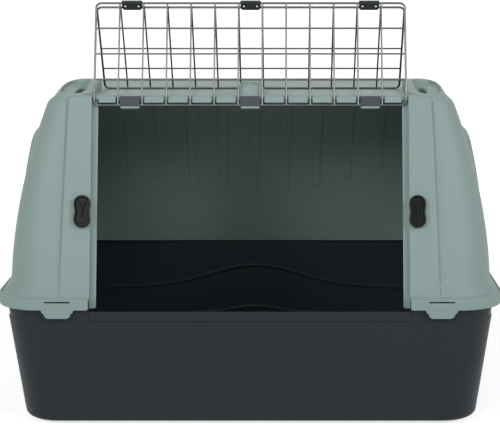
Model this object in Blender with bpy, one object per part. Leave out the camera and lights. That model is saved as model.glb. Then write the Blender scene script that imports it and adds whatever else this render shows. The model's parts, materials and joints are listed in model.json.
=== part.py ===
"""Pet transport carrier: a dark base tray, a green upper shell and a two-panel folding wire door.

The door stands open on the roof, as photographed. +X is the carrier's right as seen from the
front, -Y is the front, +Z is up, and the origin is under the centre of the rim, on the floor.
"""

import math

import bmesh
import bpy
from mathutils import Matrix, Vector

# Overall sizes, in metres.
RIM_LENGTH = 1.012
RIM_DEPTH = 0.600
RIM_CORNER = 0.090
CARRIER_HEIGHT = 0.670
SEAM_HEIGHT = 0.263
FIT_GAP = 0.0003
NEARLY_FLAT = math.radians(0.1)

# Base tray.
BASE_WALL = 0.0035
BASE_FLOOR = 0.005
BASE_INSET_SIDE = 0.014
BASE_INSET_FRONT = 0.006
BASE_TAPER_SIDE = 0.0305
BASE_TAPER_FRONT = 0.026
BASE_CORNER = 0.075
BASE_EDGE_ROUND = 0.010
BASE_EDGE_STEPS = 3
SIDE_PANEL_DEPTH = 0.0025
SIDE_PANEL_LENGTH = 0.400
SIDE_PANEL_BOTTOM = 0.036
SIDE_PANEL_TOP = 0.124
SIDE_PANEL_SLOPE = 0.010
SILL_DROP = 0.023
SILL_BAND = 0.017
SILL_PROUD = 0.002
WAVE_RIDGE = 0.0025
WAVE_WIDTH = 0.006
WAVE_LOW = (0.150, 0.086)
WAVE_RISE = (0.052, 0.017)
WAVE_SPREAD = (0.150, 0.080)
WAVE_REACH = (0.358, 0.160)
WAVE_STEPS = 16
CATCH_WIDTH = 0.050
CATCH_HEIGHT = 0.034
CATCH_PROUD = 0.006

# Feet.
FOOT_HEIGHT = 0.005
FOOT_LENGTH = 0.090
FOOT_WIDTH = 0.036
FOOT_INSET_SIDE = 0.0765
FOOT_INSET_FRONT = 0.048
FOOT_STUD_RADIUS = 0.004

# Upper shell.
SHELL_WALL = 0.003
LIP_HEIGHT = 0.022
FRONT_LEAN = math.radians(16.1)
BACK_LEAN = math.radians(9.0)
FRONT_LEDGE = 0.025
FRONT_PANEL_PROUD = 0.003
FRONT_PANEL_MARGIN = 0.059
FRONT_PANEL_FLARE = 0.0125
FRONT_PANEL_SLOPE = 0.005
BACK_LEDGE = 0.017
SIDE_LEDGE = 0.008
SHOULDER_HEIGHT = 0.030
SHOULDER_RUN = 0.011
SIDE_TOP_INSET = 0.0735
SIDE_BULGE = 1.9
SHELL_CORNER_LOW = 0.100
SHELL_CORNER_HIGH = 0.050
ROOF_EDGE_HEIGHT = 0.020
ROOF_EDGE_RUN_SIDE = 0.026
ROOF_EDGE_RUN_FRONT = 0.007
ROOF_TRAY_DEPTH = 0.004
ROOF_TRAY_MARGIN = 0.012
SPINE_WIDTH = 0.040
SPINE_FLANK = 0.006
SPINE_FACE_RISE = 0.0175
SPINE_FACE_RUN = 0.008
SPINE_RISE = 0.0245
SPINE_RUN = 0.0165
SPINE_BACK_RUN = 0.118
SPINE_CORNER = 0.007
SPINE_CORNER_STEPS = 2
SPINE_LENGTH = 0.1446
TAB_TOP_WIDTH = 0.062
TAB_BOTTOM_WIDTH = 0.052
TAB_DROP = 0.0185
TAB_SLOT_WIDTH = 0.050
TAB_SLOT_HEIGHT = 0.003
TAB_SLOT_RISE = 0.0124
TAB_ROUND = 0.007
FRONT_TAB_INSET = 0.129
SIDE_TAB_Y = 0.130
RIB_COUNT = 9
RIB_PITCH = 0.072
RIB_TOP_WIDTH = 0.032
RIB_FOOT_WIDTH = 0.016
RIB_SLOPE = 0.003
RIB_PROUD = 0.002
RIB_TOP_DROP = 0.041
RIB_LENGTH = 0.229
RIB_ARCH = 0.050

# Hand pockets in the roof's ends.
HANDLE_RISE = 0.018
HANDLE_FRONT_DROP = 0.0153
HANDLE_SIDE_DROP = 0.010
HANDLE_LEVEL_WIDTH = 0.038
HANDLE_DOOR_GAP = 0.005
HANDLE_OUTER_INSET = 0.013
HANDLE_FRONT = 0.008
HANDLE_LENGTH = 0.182
HANDLE_RISE_LENGTH = 0.150
HANDLE_CORNER = 0.030
HANDLE_CORNER_STEPS = 3
HANDLE_TAPER = 0.009
POCKET_FRONT = 0.0186
POCKET_LENGTH = 0.163
POCKET_WIDTH = 0.050
POCKET_RIM = 0.0135
POCKET_DEPTH = 0.085
POCKET_SLOT_WIDTH = 0.0335
POCKET_SLOT_INSET_FRONT = 0.017
POCKET_SLOT_INSET_BACK = 0.034
POCKET_FLOOR_ROUND = 0.006
POCKET_STEPS = 12

# Side vents.
VENT_COUNT = 6
VENT_PITCH = 0.034
VENT_WIDTH = 0.013
VENT_LENGTH = 0.032
VENT_DROP = 0.080
VENT_HOOD_PROUD = 0.011
VENT_HOOD_MARGIN = 0.022
VENT_HOOD_DROP = 0.190

# Doorway and its hinge.
DOORWAY_WIDTH = 0.608
BEAM_HEIGHT = 0.013
REBATE_WIDTH = 0.012
REBATE_DEPTH = 0.0085
JAMB_DROP = 0.013
ROD_DROP = 0.004
ROD_DEPTH = 0.0045
NOTCH_WIDTH = 0.009
NOTCH_DEPTH = 0.0065
LUG_WIDTH = 0.037
LUG_THICKNESS = 0.0045
LUG_WEB = 0.003
HINGE_CLEARANCE = 0.0005
HINGE_CLIP_WIDTH = 0.0385
HINGE_CLIP_PROUD = 0.0015
HINGE_CLIP_DEPTH = 0.0050

# Wire door.
FRAME_RADIUS = 0.00225
WIRE_RADIUS = 0.00175
WIRE_COUNT = 14
ROW_COUNT = 5
DOOR_SIDE_COVER = 0.008
DOOR_SILL_COVER = 0.0104
UPPER_PANEL_SHARE = 0.503
FOLD_GAP = 0.010
FRAME_CORNER = 0.010
WIRE_LAYER = 0.0027
DOOR_REST_LEAN = math.radians(20.4)
CLIP_CELLS = (1, 6, 11)

# Fold clips and their rivets.
FOLD_CLIP_WIDTH = 0.041
FOLD_CLIP_CHAMFER = 0.004
FOLD_CLIP_WALL = 0.0017
RIVET_SPACING = 0.027
RIVET_RADIUS = 0.0014
RIVET_HEAD_RADIUS = 0.0021
RIVET_HEAD_HEIGHT = 0.0009

# Turn latches.
LATCH_MARGIN = 0.016
LATCH_DROP = 0.2058
LATCH_WIDTH = 0.0335
LATCH_LENGTH = 0.065
LATCH_WAIST = 0.0285
LATCH_PLATE = 0.007
LATCH_ROUND = 0.0015
LATCH_RIM = 0.004
LATCH_DISH = 0.004
LATCH_BOSS_RADIUS = 0.008
LATCH_BOSS_SINK = 0.001
LATCH_GRIP_PROUD = 0.003
LATCH_GRIP_WIDTH = 0.0045
LATCH_ARM_SPREAD = 0.006
LATCH_ARM_RISE = 0.0125
LATCH_FORK = 0.006
SPINDLE_TAIL = 0.003
LATCH_STANDOFF = 0.0010
SPINDLE_RADIUS = 0.005
SPINDLE_CLEARANCE = 0.0004
WASHER_RADIUS = 0.010
WASHER_THICKNESS = 0.002

# What follows from the driving sizes.
HALF_LENGTH = RIM_LENGTH / 2
HALF_DEPTH = RIM_DEPTH / 2
ROOF_HEIGHT = CARRIER_HEIGHT - HANDLE_RISE
DOORWAY_TOP = ROOF_HEIGHT - BEAM_HEIGHT
ROD_HEIGHT = DOORWAY_TOP - ROD_DROP
LATCH_HEIGHT = ROD_HEIGHT - LATCH_DROP
VENT_TOP = ROOF_HEIGHT - VENT_DROP
RIB_TOP = ROOF_HEIGHT - RIB_TOP_DROP
RIB_FOOT = RIB_TOP - RIB_LENGTH
SILL_HEIGHT = SEAM_HEIGHT - SILL_DROP
BASE_TOP_LENGTH = RIM_LENGTH - 2 * BASE_INSET_SIDE
BASE_TOP_DEPTH = RIM_DEPTH - 2 * BASE_INSET_FRONT
BASE_BOTTOM_LENGTH = BASE_TOP_LENGTH - 2 * BASE_TAPER_SIDE
BASE_BOTTOM_DEPTH = BASE_TOP_DEPTH - 2 * BASE_TAPER_FRONT
FOOT_X = BASE_BOTTOM_LENGTH / 2 - FOOT_INSET_SIDE
FOOT_Y = BASE_BOTTOM_DEPTH / 2 - FOOT_INSET_FRONT
FRONT_TAB_X = HALF_LENGTH - FRONT_TAB_INSET
LATCH_X = DOORWAY_WIDTH / 2 + REBATE_WIDTH + LATCH_MARGIN
LATCH_REACH = (LATCH_LENGTH - LATCH_WIDTH) / 2
FRONT_PANEL_TOP = DOORWAY_WIDTH / 2 + FRONT_PANEL_MARGIN
FRONT_PANEL_FOOT = FRONT_PANEL_TOP + FRONT_PANEL_FLARE
LIP_BOTTOM = SEAM_HEIGHT + SHELL_WALL - LIP_HEIGHT
LEDGE_TOP = SEAM_HEIGHT + SHELL_WALL
FRONT_FOOT_Y = -HALF_DEPTH + FRONT_LEDGE
BACK_FOOT_Y = HALF_DEPTH - BACK_LEDGE
DOOR_WIDTH = DOORWAY_WIDTH + 2 * DOOR_SIDE_COVER
HANDLE_INNER_X = DOOR_WIDTH / 2 + HANDLE_DOOR_GAP
WIRE_PITCH = DOOR_WIDTH / (WIRE_COUNT - 1)
TRAY_HEIGHT = ROOF_HEIGHT - ROOF_TRAY_DEPTH
DOOR_FALL = (ROD_HEIGHT - SILL_HEIGHT) / math.cos(FRONT_LEAN) + DOOR_SILL_COVER
UPPER_PANEL_HEIGHT = DOOR_FALL * UPPER_PANEL_SHARE
LOWER_PANEL_HEIGHT = DOOR_FALL - UPPER_PANEL_HEIGHT - FOLD_GAP
BASE_TOP = SEAM_HEIGHT - FIT_GAP


def front_y(z):
    """The outer front face's Y at a height."""
    return FRONT_FOOT_Y + (z - LEDGE_TOP) * math.tan(FRONT_LEAN)


def back_y(z):
    """The outer back wall's Y at a height."""
    return BACK_FOOT_Y - (z - LEDGE_TOP) * math.tan(BACK_LEAN)


def side_x(z):
    """The outer side wall's X at a height: a convex curve, steep at the foot."""
    rise = max(0.0, (z - LEDGE_TOP) / (ROOF_HEIGHT - ROOF_EDGE_HEIGHT - LEDGE_TOP))
    foot = HALF_LENGTH - SIDE_LEDGE - SHOULDER_RUN
    return foot - SIDE_TOP_INSET * rise**SIDE_BULGE


def tilted(lean, place):
    """A frame whose local Y runs up a face that leans back and whose local Z points out of it."""
    return Matrix.Translation(place) @ Matrix.Rotation(math.pi / 2 - lean, 4, "X")


PANEL_OUT = FRONT_PANEL_PROUD / math.cos(FRONT_LEAN)
FACE = tilted(FRONT_LEAN, Vector((0, front_y(ROD_HEIGHT) - PANEL_OUT, ROD_HEIGHT)))
ROD = FACE @ Vector((0, 0, -ROD_DEPTH))
UPPER = tilted(DOOR_REST_LEAN, ROD)
FOLD = UPPER @ Vector((0, UPPER_PANEL_HEIGHT, 0))
LOWER_REACH = FOLD_GAP + LOWER_PANEL_HEIGHT
LOWER_DROP = FOLD.z - (TRAY_HEIGHT + FRAME_RADIUS + FIT_GAP)
LOWER_LEAN = math.pi - math.acos(LOWER_DROP / LOWER_REACH)
LOWER = tilted(LOWER_LEAN, FOLD)


for old in list(bpy.data.objects):
    bpy.data.objects.remove(old, do_unlink=True)


def material(name, colour, roughness, metallic=0.0):
    made = bpy.data.materials.new(name)
    made.use_nodes = True
    shader = made.node_tree.nodes["Principled BSDF"]
    shader.inputs["Base Color"].default_value = (*colour, 1.0)
    shader.inputs["Roughness"].default_value = roughness
    shader.inputs["Metallic"].default_value = metallic
    return made


GREEN = material("sage_green_plastic", (0.30, 0.39, 0.37), 0.55)
ANTHRACITE = material("anthracite_plastic", (0.032, 0.039, 0.043), 0.55)
BLACK = material("black_plastic", (0.03, 0.035, 0.036), 0.5)
STEEL = material("plated_wire", (0.55, 0.56, 0.57), 0.3, 1.0)
RUBBER = material("black_rubber", (0.015, 0.015, 0.016), 0.85)


def node(name, mesh, finish, frame=None, parent=None):
    """A finished sub-part, placed by its frame."""
    made = bpy.data.objects.new(name, mesh)
    bpy.context.collection.objects.link(made)
    made.data.materials.append(finish)
    made.parent = parent
    made.matrix_world = frame if frame else Matrix()
    made.data.shade_smooth()
    made.data.set_sharp_from_angle(angle=math.radians(35))
    return made


def group(name):
    """A collection of helper solids for one Boolean."""
    made = bpy.data.collections.new(name)
    bpy.context.scene.collection.children.link(made)
    return made


def helper(collection, mesh, frame=None):
    made = bpy.data.objects.new(mesh.name, mesh)
    collection.objects.link(made)
    made.matrix_world = frame if frame else Matrix()
    made.hide_render = True
    made.display_type = "WIRE"
    return made


def boolean(target, collection, operation):
    step = target.modifiers.new(collection.name, "BOOLEAN")
    step.operation = operation
    step.solver = "EXACT"
    step.operand_type = "COLLECTION"
    step.collection = collection


def axis(name, frame, parent=None):
    made = bpy.data.objects.new(name, None)
    bpy.context.collection.objects.link(made)
    made.parent = parent
    made.matrix_world = frame
    return made


def mesh_from(name, points, faces):
    made = bpy.data.meshes.new(name)
    made.from_pydata([tuple(p) for p in points], [], faces)
    body = bmesh.new()
    body.from_mesh(made)
    bmesh.ops.connect_verts_nonplanar(body, angle_limit=NEARLY_FLAT, faces=body.faces)
    bmesh.ops.recalc_face_normals(body, faces=body.faces)
    body.to_mesh(made)
    body.free()
    return made


def loft(name, rings, first_pair=None):
    """A closed body through rings of equally many points, with both ends filled.

    An end that isn't flat is filled in strips between the ring's two halves, from first_pair on.
    """
    count = len(rings[0])
    points = [p for ring in rings for p in ring]
    faces = []
    for start in (0, len(points) - count):
        if first_pair is None:
            faces.append(tuple(start + i for i in range(count)))
            continue
        steps = range(count // 2)
        pairs = [(start + (first_pair + k) % count, start + (first_pair - 1 - k) % count) for k in steps]
        faces.extend((a, b, d, c) for (a, b), (c, d) in zip(pairs, pairs[1:]))
    for level in range(len(rings) - 1):
        for i in range(count):
            j = (i + 1) % count
            low = level * count
            faces.append((low + i, low + j, low + count + j, low + count + i))
    return mesh_from(name, points, faces)


def rounded(x0, x1, y0, y1, corner, z, steps=5):
    """A rounded rectangle at a height."""
    corner = min(corner, (x1 - x0) / 2.001, (y1 - y0) / 2.001)
    centres = ((x1, y1, 0), (x0, y1, 1), (x0, y0, 2), (x1, y0, 3))
    ring = []
    for cx, cy, quarter in centres:
        mx = cx - corner if cx == x1 else cx + corner
        my = cy - corner if cy == y1 else cy + corner
        for i in range(steps + 1):
            turn = (quarter + i / steps) * math.pi / 2
            ring.append((mx + corner * math.cos(turn), my + corner * math.sin(turn), z))
    return ring


def box(name, x0, x1, y0, y1, z0, z1):
    corners = [[(x, y, z) for x, y in ((x0, y0), (x1, y0), (x1, y1), (x0, y1))] for z in (z0, z1)]
    return loft(name, corners)


def prism(name, outline, z0, z1):
    return loft(name, [[(x, y, z) for x, y in outline] for z in (z0, z1)])


def cylinder(name, radius, z0, z1, sides=16, centre=(0, 0)):
    turns = [2 * math.pi * i / sides for i in range(sides)]
    outline = [(centre[0] + radius * math.cos(t), centre[1] + radius * math.sin(t)) for t in turns]
    return prism(name, outline, z0, z1)


def rod_along_x(name, radius, x0, x1, y, z, sides=12):
    """A cylinder along X, with flats top and bottom."""
    turns = [2 * math.pi * (i + 0.5) / sides for i in range(sides)]
    circle = [(y + radius * math.cos(t), z + radius * math.sin(t)) for t in turns]
    return loft(name, [[(x, cy, cz) for cy, cz in circle] for x in (x0, x1)])


def merged(name, meshes):
    """Separate bodies kept in one mesh."""
    body = bmesh.new()
    for mesh in meshes:
        body.from_mesh(mesh)
    made = bpy.data.meshes.new(name)
    body.to_mesh(made)
    body.free()
    return made


# Base tray: a tapered tub with a low sill across the doorway.
def base_half(z):
    """The tub's outer half length and half depth at a height."""
    share = (z - FOOT_HEIGHT) / (BASE_TOP - FOOT_HEIGHT)
    half_x = (BASE_BOTTOM_LENGTH + (BASE_TOP_LENGTH - BASE_BOTTOM_LENGTH) * share) / 2
    half_y = (BASE_BOTTOM_DEPTH + (BASE_TOP_DEPTH - BASE_BOTTOM_DEPTH) * share) / 2
    return half_x, half_y


def base_ring(z, inset=0.0):
    half_x, half_y = base_half(z)
    half_x -= inset
    half_y -= inset
    return rounded(-half_x, half_x, -half_y, half_y, BASE_CORNER - inset, z)


def tub(name):
    """The tub's outer skin, over its rim and down its inner skin, as one closed body."""
    bottom = FOOT_HEIGHT
    outer = [base_ring(bottom, BASE_EDGE_ROUND)]
    for i in range(1, BASE_EDGE_STEPS + 1):
        turn = i / BASE_EDGE_STEPS * math.pi / 2
        inset = BASE_EDGE_ROUND * (1 - math.sin(turn))
        outer.append(base_ring(bottom + BASE_EDGE_ROUND * (1 - math.cos(turn)), inset))
    outer.append(base_ring(BASE_TOP))
    inner = [base_ring(BASE_TOP, BASE_WALL)]
    for i in range(BASE_EDGE_STEPS):
        turn = i / BASE_EDGE_STEPS * math.pi / 2
        drop = BASE_EDGE_ROUND * math.sin(turn)
        inset = BASE_WALL + BASE_EDGE_ROUND * (1 - math.cos(turn))
        inner.append(base_ring(bottom + BASE_FLOOR + BASE_EDGE_ROUND - drop, inset))
    inner.append(base_ring(bottom + BASE_FLOOR, BASE_WALL + BASE_EDGE_ROUND))
    return loft(name, outer + inner)


def wave_ridge(index, low, rise, spread, reach):
    """A bell-shaped stiffening ridge on the tub's inner back wall."""
    rings = []
    for i in range(WAVE_STEPS + 1):
        x = reach * (2 * i / WAVE_STEPS - 1)
        z = low + rise * math.exp(-((x / spread) ** 2))
        wall = base_half(z)[1] - BASE_WALL
        rings.append(
            [
                (x, wall + BASE_WALL / 2, z - WAVE_WIDTH),
                (x, wall - WAVE_RIDGE, z - WAVE_WIDTH / 4),
                (x, wall - WAVE_RIDGE, z + WAVE_WIDTH / 4),
                (x, wall + BASE_WALL / 2, z + WAVE_WIDTH),
            ]
        )
    return loft(f"wave_ridge_{index}", rings)


base_adds = group("base_adds")
base_cuts = group("base_cuts")
for index, wave in enumerate(zip(WAVE_LOW, WAVE_RISE, WAVE_SPREAD, WAVE_REACH)):
    helper(base_adds, wave_ridge(index, *wave))
sill_half = DOORWAY_WIDTH / 2 + REBATE_WIDTH - FIT_GAP
sill_front = -base_half(SILL_HEIGHT)[1]
sill_profile = (
    (sill_front + BASE_WALL / 2, SILL_HEIGHT - SILL_BAND - SILL_PROUD),
    (sill_front + BASE_WALL / 2, SILL_HEIGHT - SILL_PROUD / 2),
    (sill_front - SILL_PROUD / 2, SILL_HEIGHT - SILL_PROUD / 2),
    (sill_front - SILL_PROUD, SILL_HEIGHT - SILL_PROUD),
    (sill_front - SILL_PROUD, SILL_HEIGHT - SILL_BAND),
)
sill_ends = [[(x, y, z) for y, z in sill_profile] for x in (-sill_half, sill_half)]
helper(base_adds, loft("sill_band", sill_ends))
helper(
    base_cuts,
    box("sill_drop", -sill_half, sill_half, -HALF_DEPTH, 0, SILL_HEIGHT, BASE_TOP + BASE_WALL),
)
for side in (-1, 1):
    panel = []
    for z in (SIDE_PANEL_BOTTOM, SIDE_PANEL_TOP):
        reach = base_half(z)[0]
        face = reach - SIDE_PANEL_DEPTH
        half = SIDE_PANEL_LENGTH / 2
        past = reach + SIDE_PANEL_SLOPE
        wide = half + SIDE_PANEL_SLOPE
        row = [(face, -half), (past, -wide), (past, wide), (face, half)]
        panel.append([(side * x, y, z) for x, y in row])
    helper(base_cuts, loft(f"side_panel_{side}", panel))

# Catches on the tray's sides, below the side tabs.
catch_places = [(side, y) for side in (-1, 1) for y in (-SIDE_TAB_Y, SIDE_TAB_Y)]
for index, (side, y) in enumerate(catch_places):
    top = LIP_BOTTOM - FIT_GAP
    low = top - CATCH_HEIGHT
    inside = base_half(low)[0] - BASE_WALL / 2
    rows = []
    for z, out in ((low, 0.0), (low + CATCH_PROUD / 2, CATCH_PROUD), (top, CATCH_PROUD)):
        edge = base_half(z)[0] + out
        half = CATCH_WIDTH / 2
        row = ((inside, -half), (edge, -half), (edge, half), (inside, half))
        rows.append([(side * x, y + dy, z) for x, dy in row])
    helper(base_adds, loft(f"catch_{index}", rows))
foot_places = [(x, y) for x in (-FOOT_X, FOOT_X) for y in (-FOOT_Y, FOOT_Y)]
for index, place in enumerate(foot_places):
    hole = cylinder(
        f"foot_hole_{index}",
        FOOT_STUD_RADIUS + FIT_GAP,
        FOOT_HEIGHT - BASE_FLOOR,
        FOOT_HEIGHT + 2 * BASE_FLOOR,
        12,
        place,
    )
    helper(base_cuts, hole)
base_tray = node("base_tray", tub("base_tray"), ANTHRACITE)
boolean(base_tray, base_adds, "UNION")
boolean(base_tray, base_cuts, "DIFFERENCE")

# Rubber feet, each held by a stud in the tray's floor.
for index, (x, y) in enumerate(foot_places):
    half_x = FOOT_LENGTH / 2
    half_y = FOOT_WIDTH / 2
    top = FOOT_HEIGHT - FIT_GAP
    edge = FOOT_HEIGHT / 6
    stud = FOOT_STUD_RADIUS
    pad = [
        rounded(-half_x + edge, half_x - edge, -half_y + edge, half_y - edge, half_y, 0, 3),
        rounded(-half_x, half_x, -half_y, half_y, half_y, edge, 3),
        rounded(-half_x, half_x, -half_y, half_y, half_y, top, 3),
        rounded(-stud, stud, -stud, stud, stud, top, 3),
        rounded(-stud, stud, -stud, stud, stud, FOOT_HEIGHT + BASE_FLOOR - FIT_GAP, 3),
    ]
    words = ("left" if x < 0 else "right", "front" if y < 0 else "back")
    foot = loft(f"foot_{words[1]}_{words[0]}", pad)
    node(foot.name, foot, RUBBER, Matrix.Translation((x, y, 0)))


# Upper shell: a lofted cover, thin all over, that stands on the tray's edge.
def shell_ring(z, inset=0.0, run_x=0.0, run_y=0.0):
    share = (z - LEDGE_TOP) / (ROOF_HEIGHT - LEDGE_TOP)
    corner = SHELL_CORNER_LOW + (SHELL_CORNER_HIGH - SHELL_CORNER_LOW) * share
    half_x = side_x(z) - inset - run_x
    return rounded(
        -half_x,
        half_x,
        front_y(z) + inset + run_y,
        back_y(z) - inset - run_y,
        corner - inset,
        z,
    )


def rim_ring(z, inset=0.0):
    half_x = HALF_LENGTH - inset
    half_y = HALF_DEPTH - inset
    return rounded(-half_x, half_x, -half_y, half_y, RIM_CORNER - inset, z)


def cover(name):
    """Outer skin from the lip's foot to the roof, then the inner skin back down."""
    wall_top = ROOF_HEIGHT - ROOF_EDGE_HEIGHT
    shoulder = LEDGE_TOP + SHOULDER_HEIGHT
    bevel = SHELL_WALL / 2
    outer = [rim_ring(LIP_BOTTOM, bevel), rim_ring(LIP_BOTTOM + bevel), rim_ring(LEDGE_TOP - bevel)]
    outer.append(rim_ring(LEDGE_TOP, bevel))
    outer.append(shell_ring(LEDGE_TOP, run_x=-SHOULDER_RUN))
    outer.append(shell_ring(LEDGE_TOP + SHOULDER_HEIGHT / 3, run_x=-SHOULDER_RUN * 0.55))
    levels = 6
    for i in range(levels + 1):
        z = shoulder + (wall_top - shoulder) * i / levels
        outer.append(shell_ring(z, run_x=-SHOULDER_RUN * 0.1 if i == 0 else 0.0))
    for i in (1, 2, 3):
        turn = i / 3 * math.pi / 2
        z = wall_top + ROOF_EDGE_HEIGHT * math.sin(turn)
        share = 1 - math.cos(turn)
        outer.append(shell_ring(z, 0, ROOF_EDGE_RUN_SIDE * share, ROOF_EDGE_RUN_FRONT * share))
    margin = ROOF_TRAY_MARGIN + ROOF_TRAY_DEPTH
    for inset, z in ((ROOF_TRAY_MARGIN, ROOF_HEIGHT), (margin, TRAY_HEIGHT)):
        run_x = ROOF_EDGE_RUN_SIDE + inset
        outer.append(shell_ring(z, 0, run_x, ROOF_EDGE_RUN_FRONT + inset))
    ceiling = TRAY_HEIGHT - SHELL_WALL
    inner = []
    for i in (3, 2, 1):
        turn = i / 3 * math.pi / 2
        z = wall_top - SHELL_WALL + (ceiling - wall_top + SHELL_WALL) * math.sin(turn)
        share = 1 - math.cos(turn)
        run_x = ROOF_EDGE_RUN_SIDE * share
        inner.append(shell_ring(z, SHELL_WALL, run_x, ROOF_EDGE_RUN_FRONT * share))
    for i in range(levels, -1, -1):
        z = shoulder + (wall_top - SHELL_WALL - shoulder) * i / levels
        inner.append(shell_ring(z, SHELL_WALL))
    inner.append(shell_ring(SEAM_HEIGHT, SHELL_WALL))
    inner.append(rim_ring(SEAM_HEIGHT, SHELL_WALL))
    inner.append(rim_ring(LIP_BOTTOM, SHELL_WALL))
    rings = outer + inner
    count = len(rings[0])
    points = [p for ring in rings for p in ring]
    faces = []
    roof = len(outer) - 1
    for level in range(len(rings)):
        low = level * count
        high = (level + 1) % len(rings) * count
        if level == roof:
            faces.append(tuple(low + i for i in range(count)))
            faces.append(tuple(high + i for i in range(count)))
            continue
        for i in range(count):
            j = (i + 1) % count
            faces.append((low + i, low + j, high + j, high + i))
    return mesh_from(name, points, faces)


first_adds = group("shell_adds")
hollows = group("shell_hollows")
bowls = group("shell_bowls")
last_cuts = group("shell_cuts")

# Raised handle blocks on the roof's ends, hollow below, each with a deep hand pocket.
handle_y0 = front_y(ROOF_HEIGHT) + HANDLE_FRONT
handle_y1 = handle_y0 + HANDLE_LENGTH
handle_x1 = side_x(ROOF_HEIGHT - ROOF_EDGE_HEIGHT) - HANDLE_OUTER_INSET
pocket_x1 = handle_x1 - POCKET_RIM
pocket_x0 = pocket_x1 - POCKET_WIDTH
pocket_y0 = front_y(ROOF_HEIGHT) + POCKET_FRONT
pocket_y1 = pocket_y0 + POCKET_LENGTH
handle_foot = ROOF_HEIGHT - ROOF_EDGE_HEIGHT * 0.6


def handle_drop(x, y):
    """How far the handle block's top lies below its crest: it falls to the front and outwards."""
    share = min(1.0, max(0.0, (y - handle_y0) / HANDLE_RISE_LENGTH))
    ease = share * share * (3 - 2 * share)
    level_x = HANDLE_INNER_X + HANDLE_LEVEL_WIDTH
    outward = max(0.0, (x - level_x) / (handle_x1 - level_x))
    return math.hypot(HANDLE_FRONT_DROP * (1 - ease), HANDLE_SIDE_DROP * outward**2)


def handle_ring(side, z, inset, slope=1.0):
    ring = rounded(
        HANDLE_INNER_X + inset * 0.5,
        handle_x1 - inset * 1.5,
        handle_y0 + inset * 0.6,
        handle_y1 - inset,
        HANDLE_CORNER,
        z,
        HANDLE_CORNER_STEPS,
    )
    middle = []
    for i, point in enumerate(ring):
        after = Vector(ring[(i + 1) % len(ring)])
        middle.append(Vector(point))
        if abs(after.y - point[1]) > HANDLE_CORNER:
            middle.extend(Vector(point).lerp(after, k / 3) for k in (1, 2))
    return [(side * x, y, z - slope * handle_drop(x, y)) for x, y, z in middle]


def bowl_ring(side, z, openness, inset, slope):
    """A level of the pocket: full mouth at openness 1, the deep finger slot at 0."""
    shut = 1 - openness
    x0 = pocket_x0 + inset
    x1 = pocket_x1 - (POCKET_WIDTH - POCKET_SLOT_WIDTH) * shut - inset
    y0 = pocket_y0 + POCKET_SLOT_INSET_FRONT * shut + inset
    y1 = pocket_y1 - POCKET_SLOT_INSET_BACK * shut - inset
    ring = []
    for i in range(POCKET_STEPS):
        turn = 2 * math.pi * (i + 0.5) / POCKET_STEPS
        across = math.copysign(abs(math.cos(turn)) ** (2 / 3), math.cos(turn))
        along = math.copysign(abs(math.sin(turn)) ** (2 / 3), math.sin(turn))
        x = (x0 + x1) / 2 + (x1 - x0) / 2 * across
        y = (y0 + y1) / 2 + (y1 - y0) / 2 * along
        ring.append((side * x, y, z - slope * handle_drop(x, y)))
    return ring


def bowl(name, side, grow, tops):
    """A scoop with a sloping outer wall that narrows to a deep finger slot."""
    levels = ((0.12, 0.62, 0.0, 1.0), (0.26, 0.12, 0.0, 0.6), (0.91, 0.0, 0.0, 0.0))
    rings = [bowl_ring(side, top, 1.0, -grow, slope) for top, slope in tops]
    for share, openness, inset, slope in levels:
        rings.append(bowl_ring(side, CARRIER_HEIGHT - POCKET_DEPTH * share, openness, inset - grow, slope))
    floor = CARRIER_HEIGHT - POCKET_DEPTH - grow
    rings.append(bowl_ring(side, floor, 0.0, POCKET_FLOOR_ROUND - grow, 0.0))
    return loft(name, rings, POCKET_STEPS // 4)


for side in (-1, 1):
    word = "left" if side < 0 else "right"
    block = [
        handle_ring(side, handle_foot, 0.0, 0.0),
        handle_ring(side, CARRIER_HEIGHT - HANDLE_TAPER * 0.5, HANDLE_TAPER * 0.4),
        handle_ring(side, CARRIER_HEIGHT - HANDLE_TAPER * 0.15, HANDLE_TAPER * 0.65),
        handle_ring(side, CARRIER_HEIGHT, HANDLE_TAPER),
    ]
    helper(first_adds, loft(f"handle_block_{word}", block, HANDLE_CORNER_STEPS + 1))
    skin = SHELL_WALL
    under = [
        handle_ring(side, handle_foot - ROOF_EDGE_HEIGHT, skin, 0.0),
        handle_ring(side, CARRIER_HEIGHT - HANDLE_TAPER * 0.5 - skin, HANDLE_TAPER * 0.4 + skin),
        handle_ring(side, CARRIER_HEIGHT - skin, HANDLE_TAPER + skin),
    ]
    helper(hollows, loft(f"handle_hollow_{word}", under, HANDLE_CORNER_STEPS + 1))
    helper(bowls, bowl(f"pocket_wall_{word}", side, skin, ((CARRIER_HEIGHT - skin, 1.0),)))
    mouth = ((CARRIER_HEIGHT + skin, 0.0), (CARRIER_HEIGHT, 1.0))
    helper(last_cuts, bowl(f"pocket_{word}", side, 0.0, mouth))

# Raised side panels that fade out below, with vent slots along their shoulders.
vent_half = (VENT_COUNT - 1) * VENT_PITCH / 2 + VENT_WIDTH / 2 + VENT_HOOD_MARGIN
vent_high = VENT_TOP + VENT_HOOD_MARGIN / 2
vent_low = vent_high - VENT_HOOD_DROP


def hood(name, side, sink, proud, margin):
    """A pillow on the side wall that follows the wall's curve and fades out downwards."""
    rings = []
    for out, shrink in ((-sink, 0.0), (proud * 0.6, 0.2), (proud, 0.6)):
        pull = VENT_HOOD_MARGIN * shrink + margin
        y1 = vent_half - pull
        levels = [vent_low + pull + (vent_high - vent_low - 2 * pull) * k / 5 for k in range(6)]
        edge = [(y1 - pull * 0.3 * (k in (0, 5)), z) for k, z in enumerate(levels)]
        outline = edge + [(-y, z) for y, z in reversed(edge)]
        ring = []
        for y, z in outline:
            fade = min(1.0, 0.15 + (z - vent_low) / VENT_HOOD_DROP)
            ring.append((side * (side_x(z) + (out * fade if out > 0 else out)), y, z))
        rings.append(ring)
    return loft(name, rings, 0)


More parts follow.
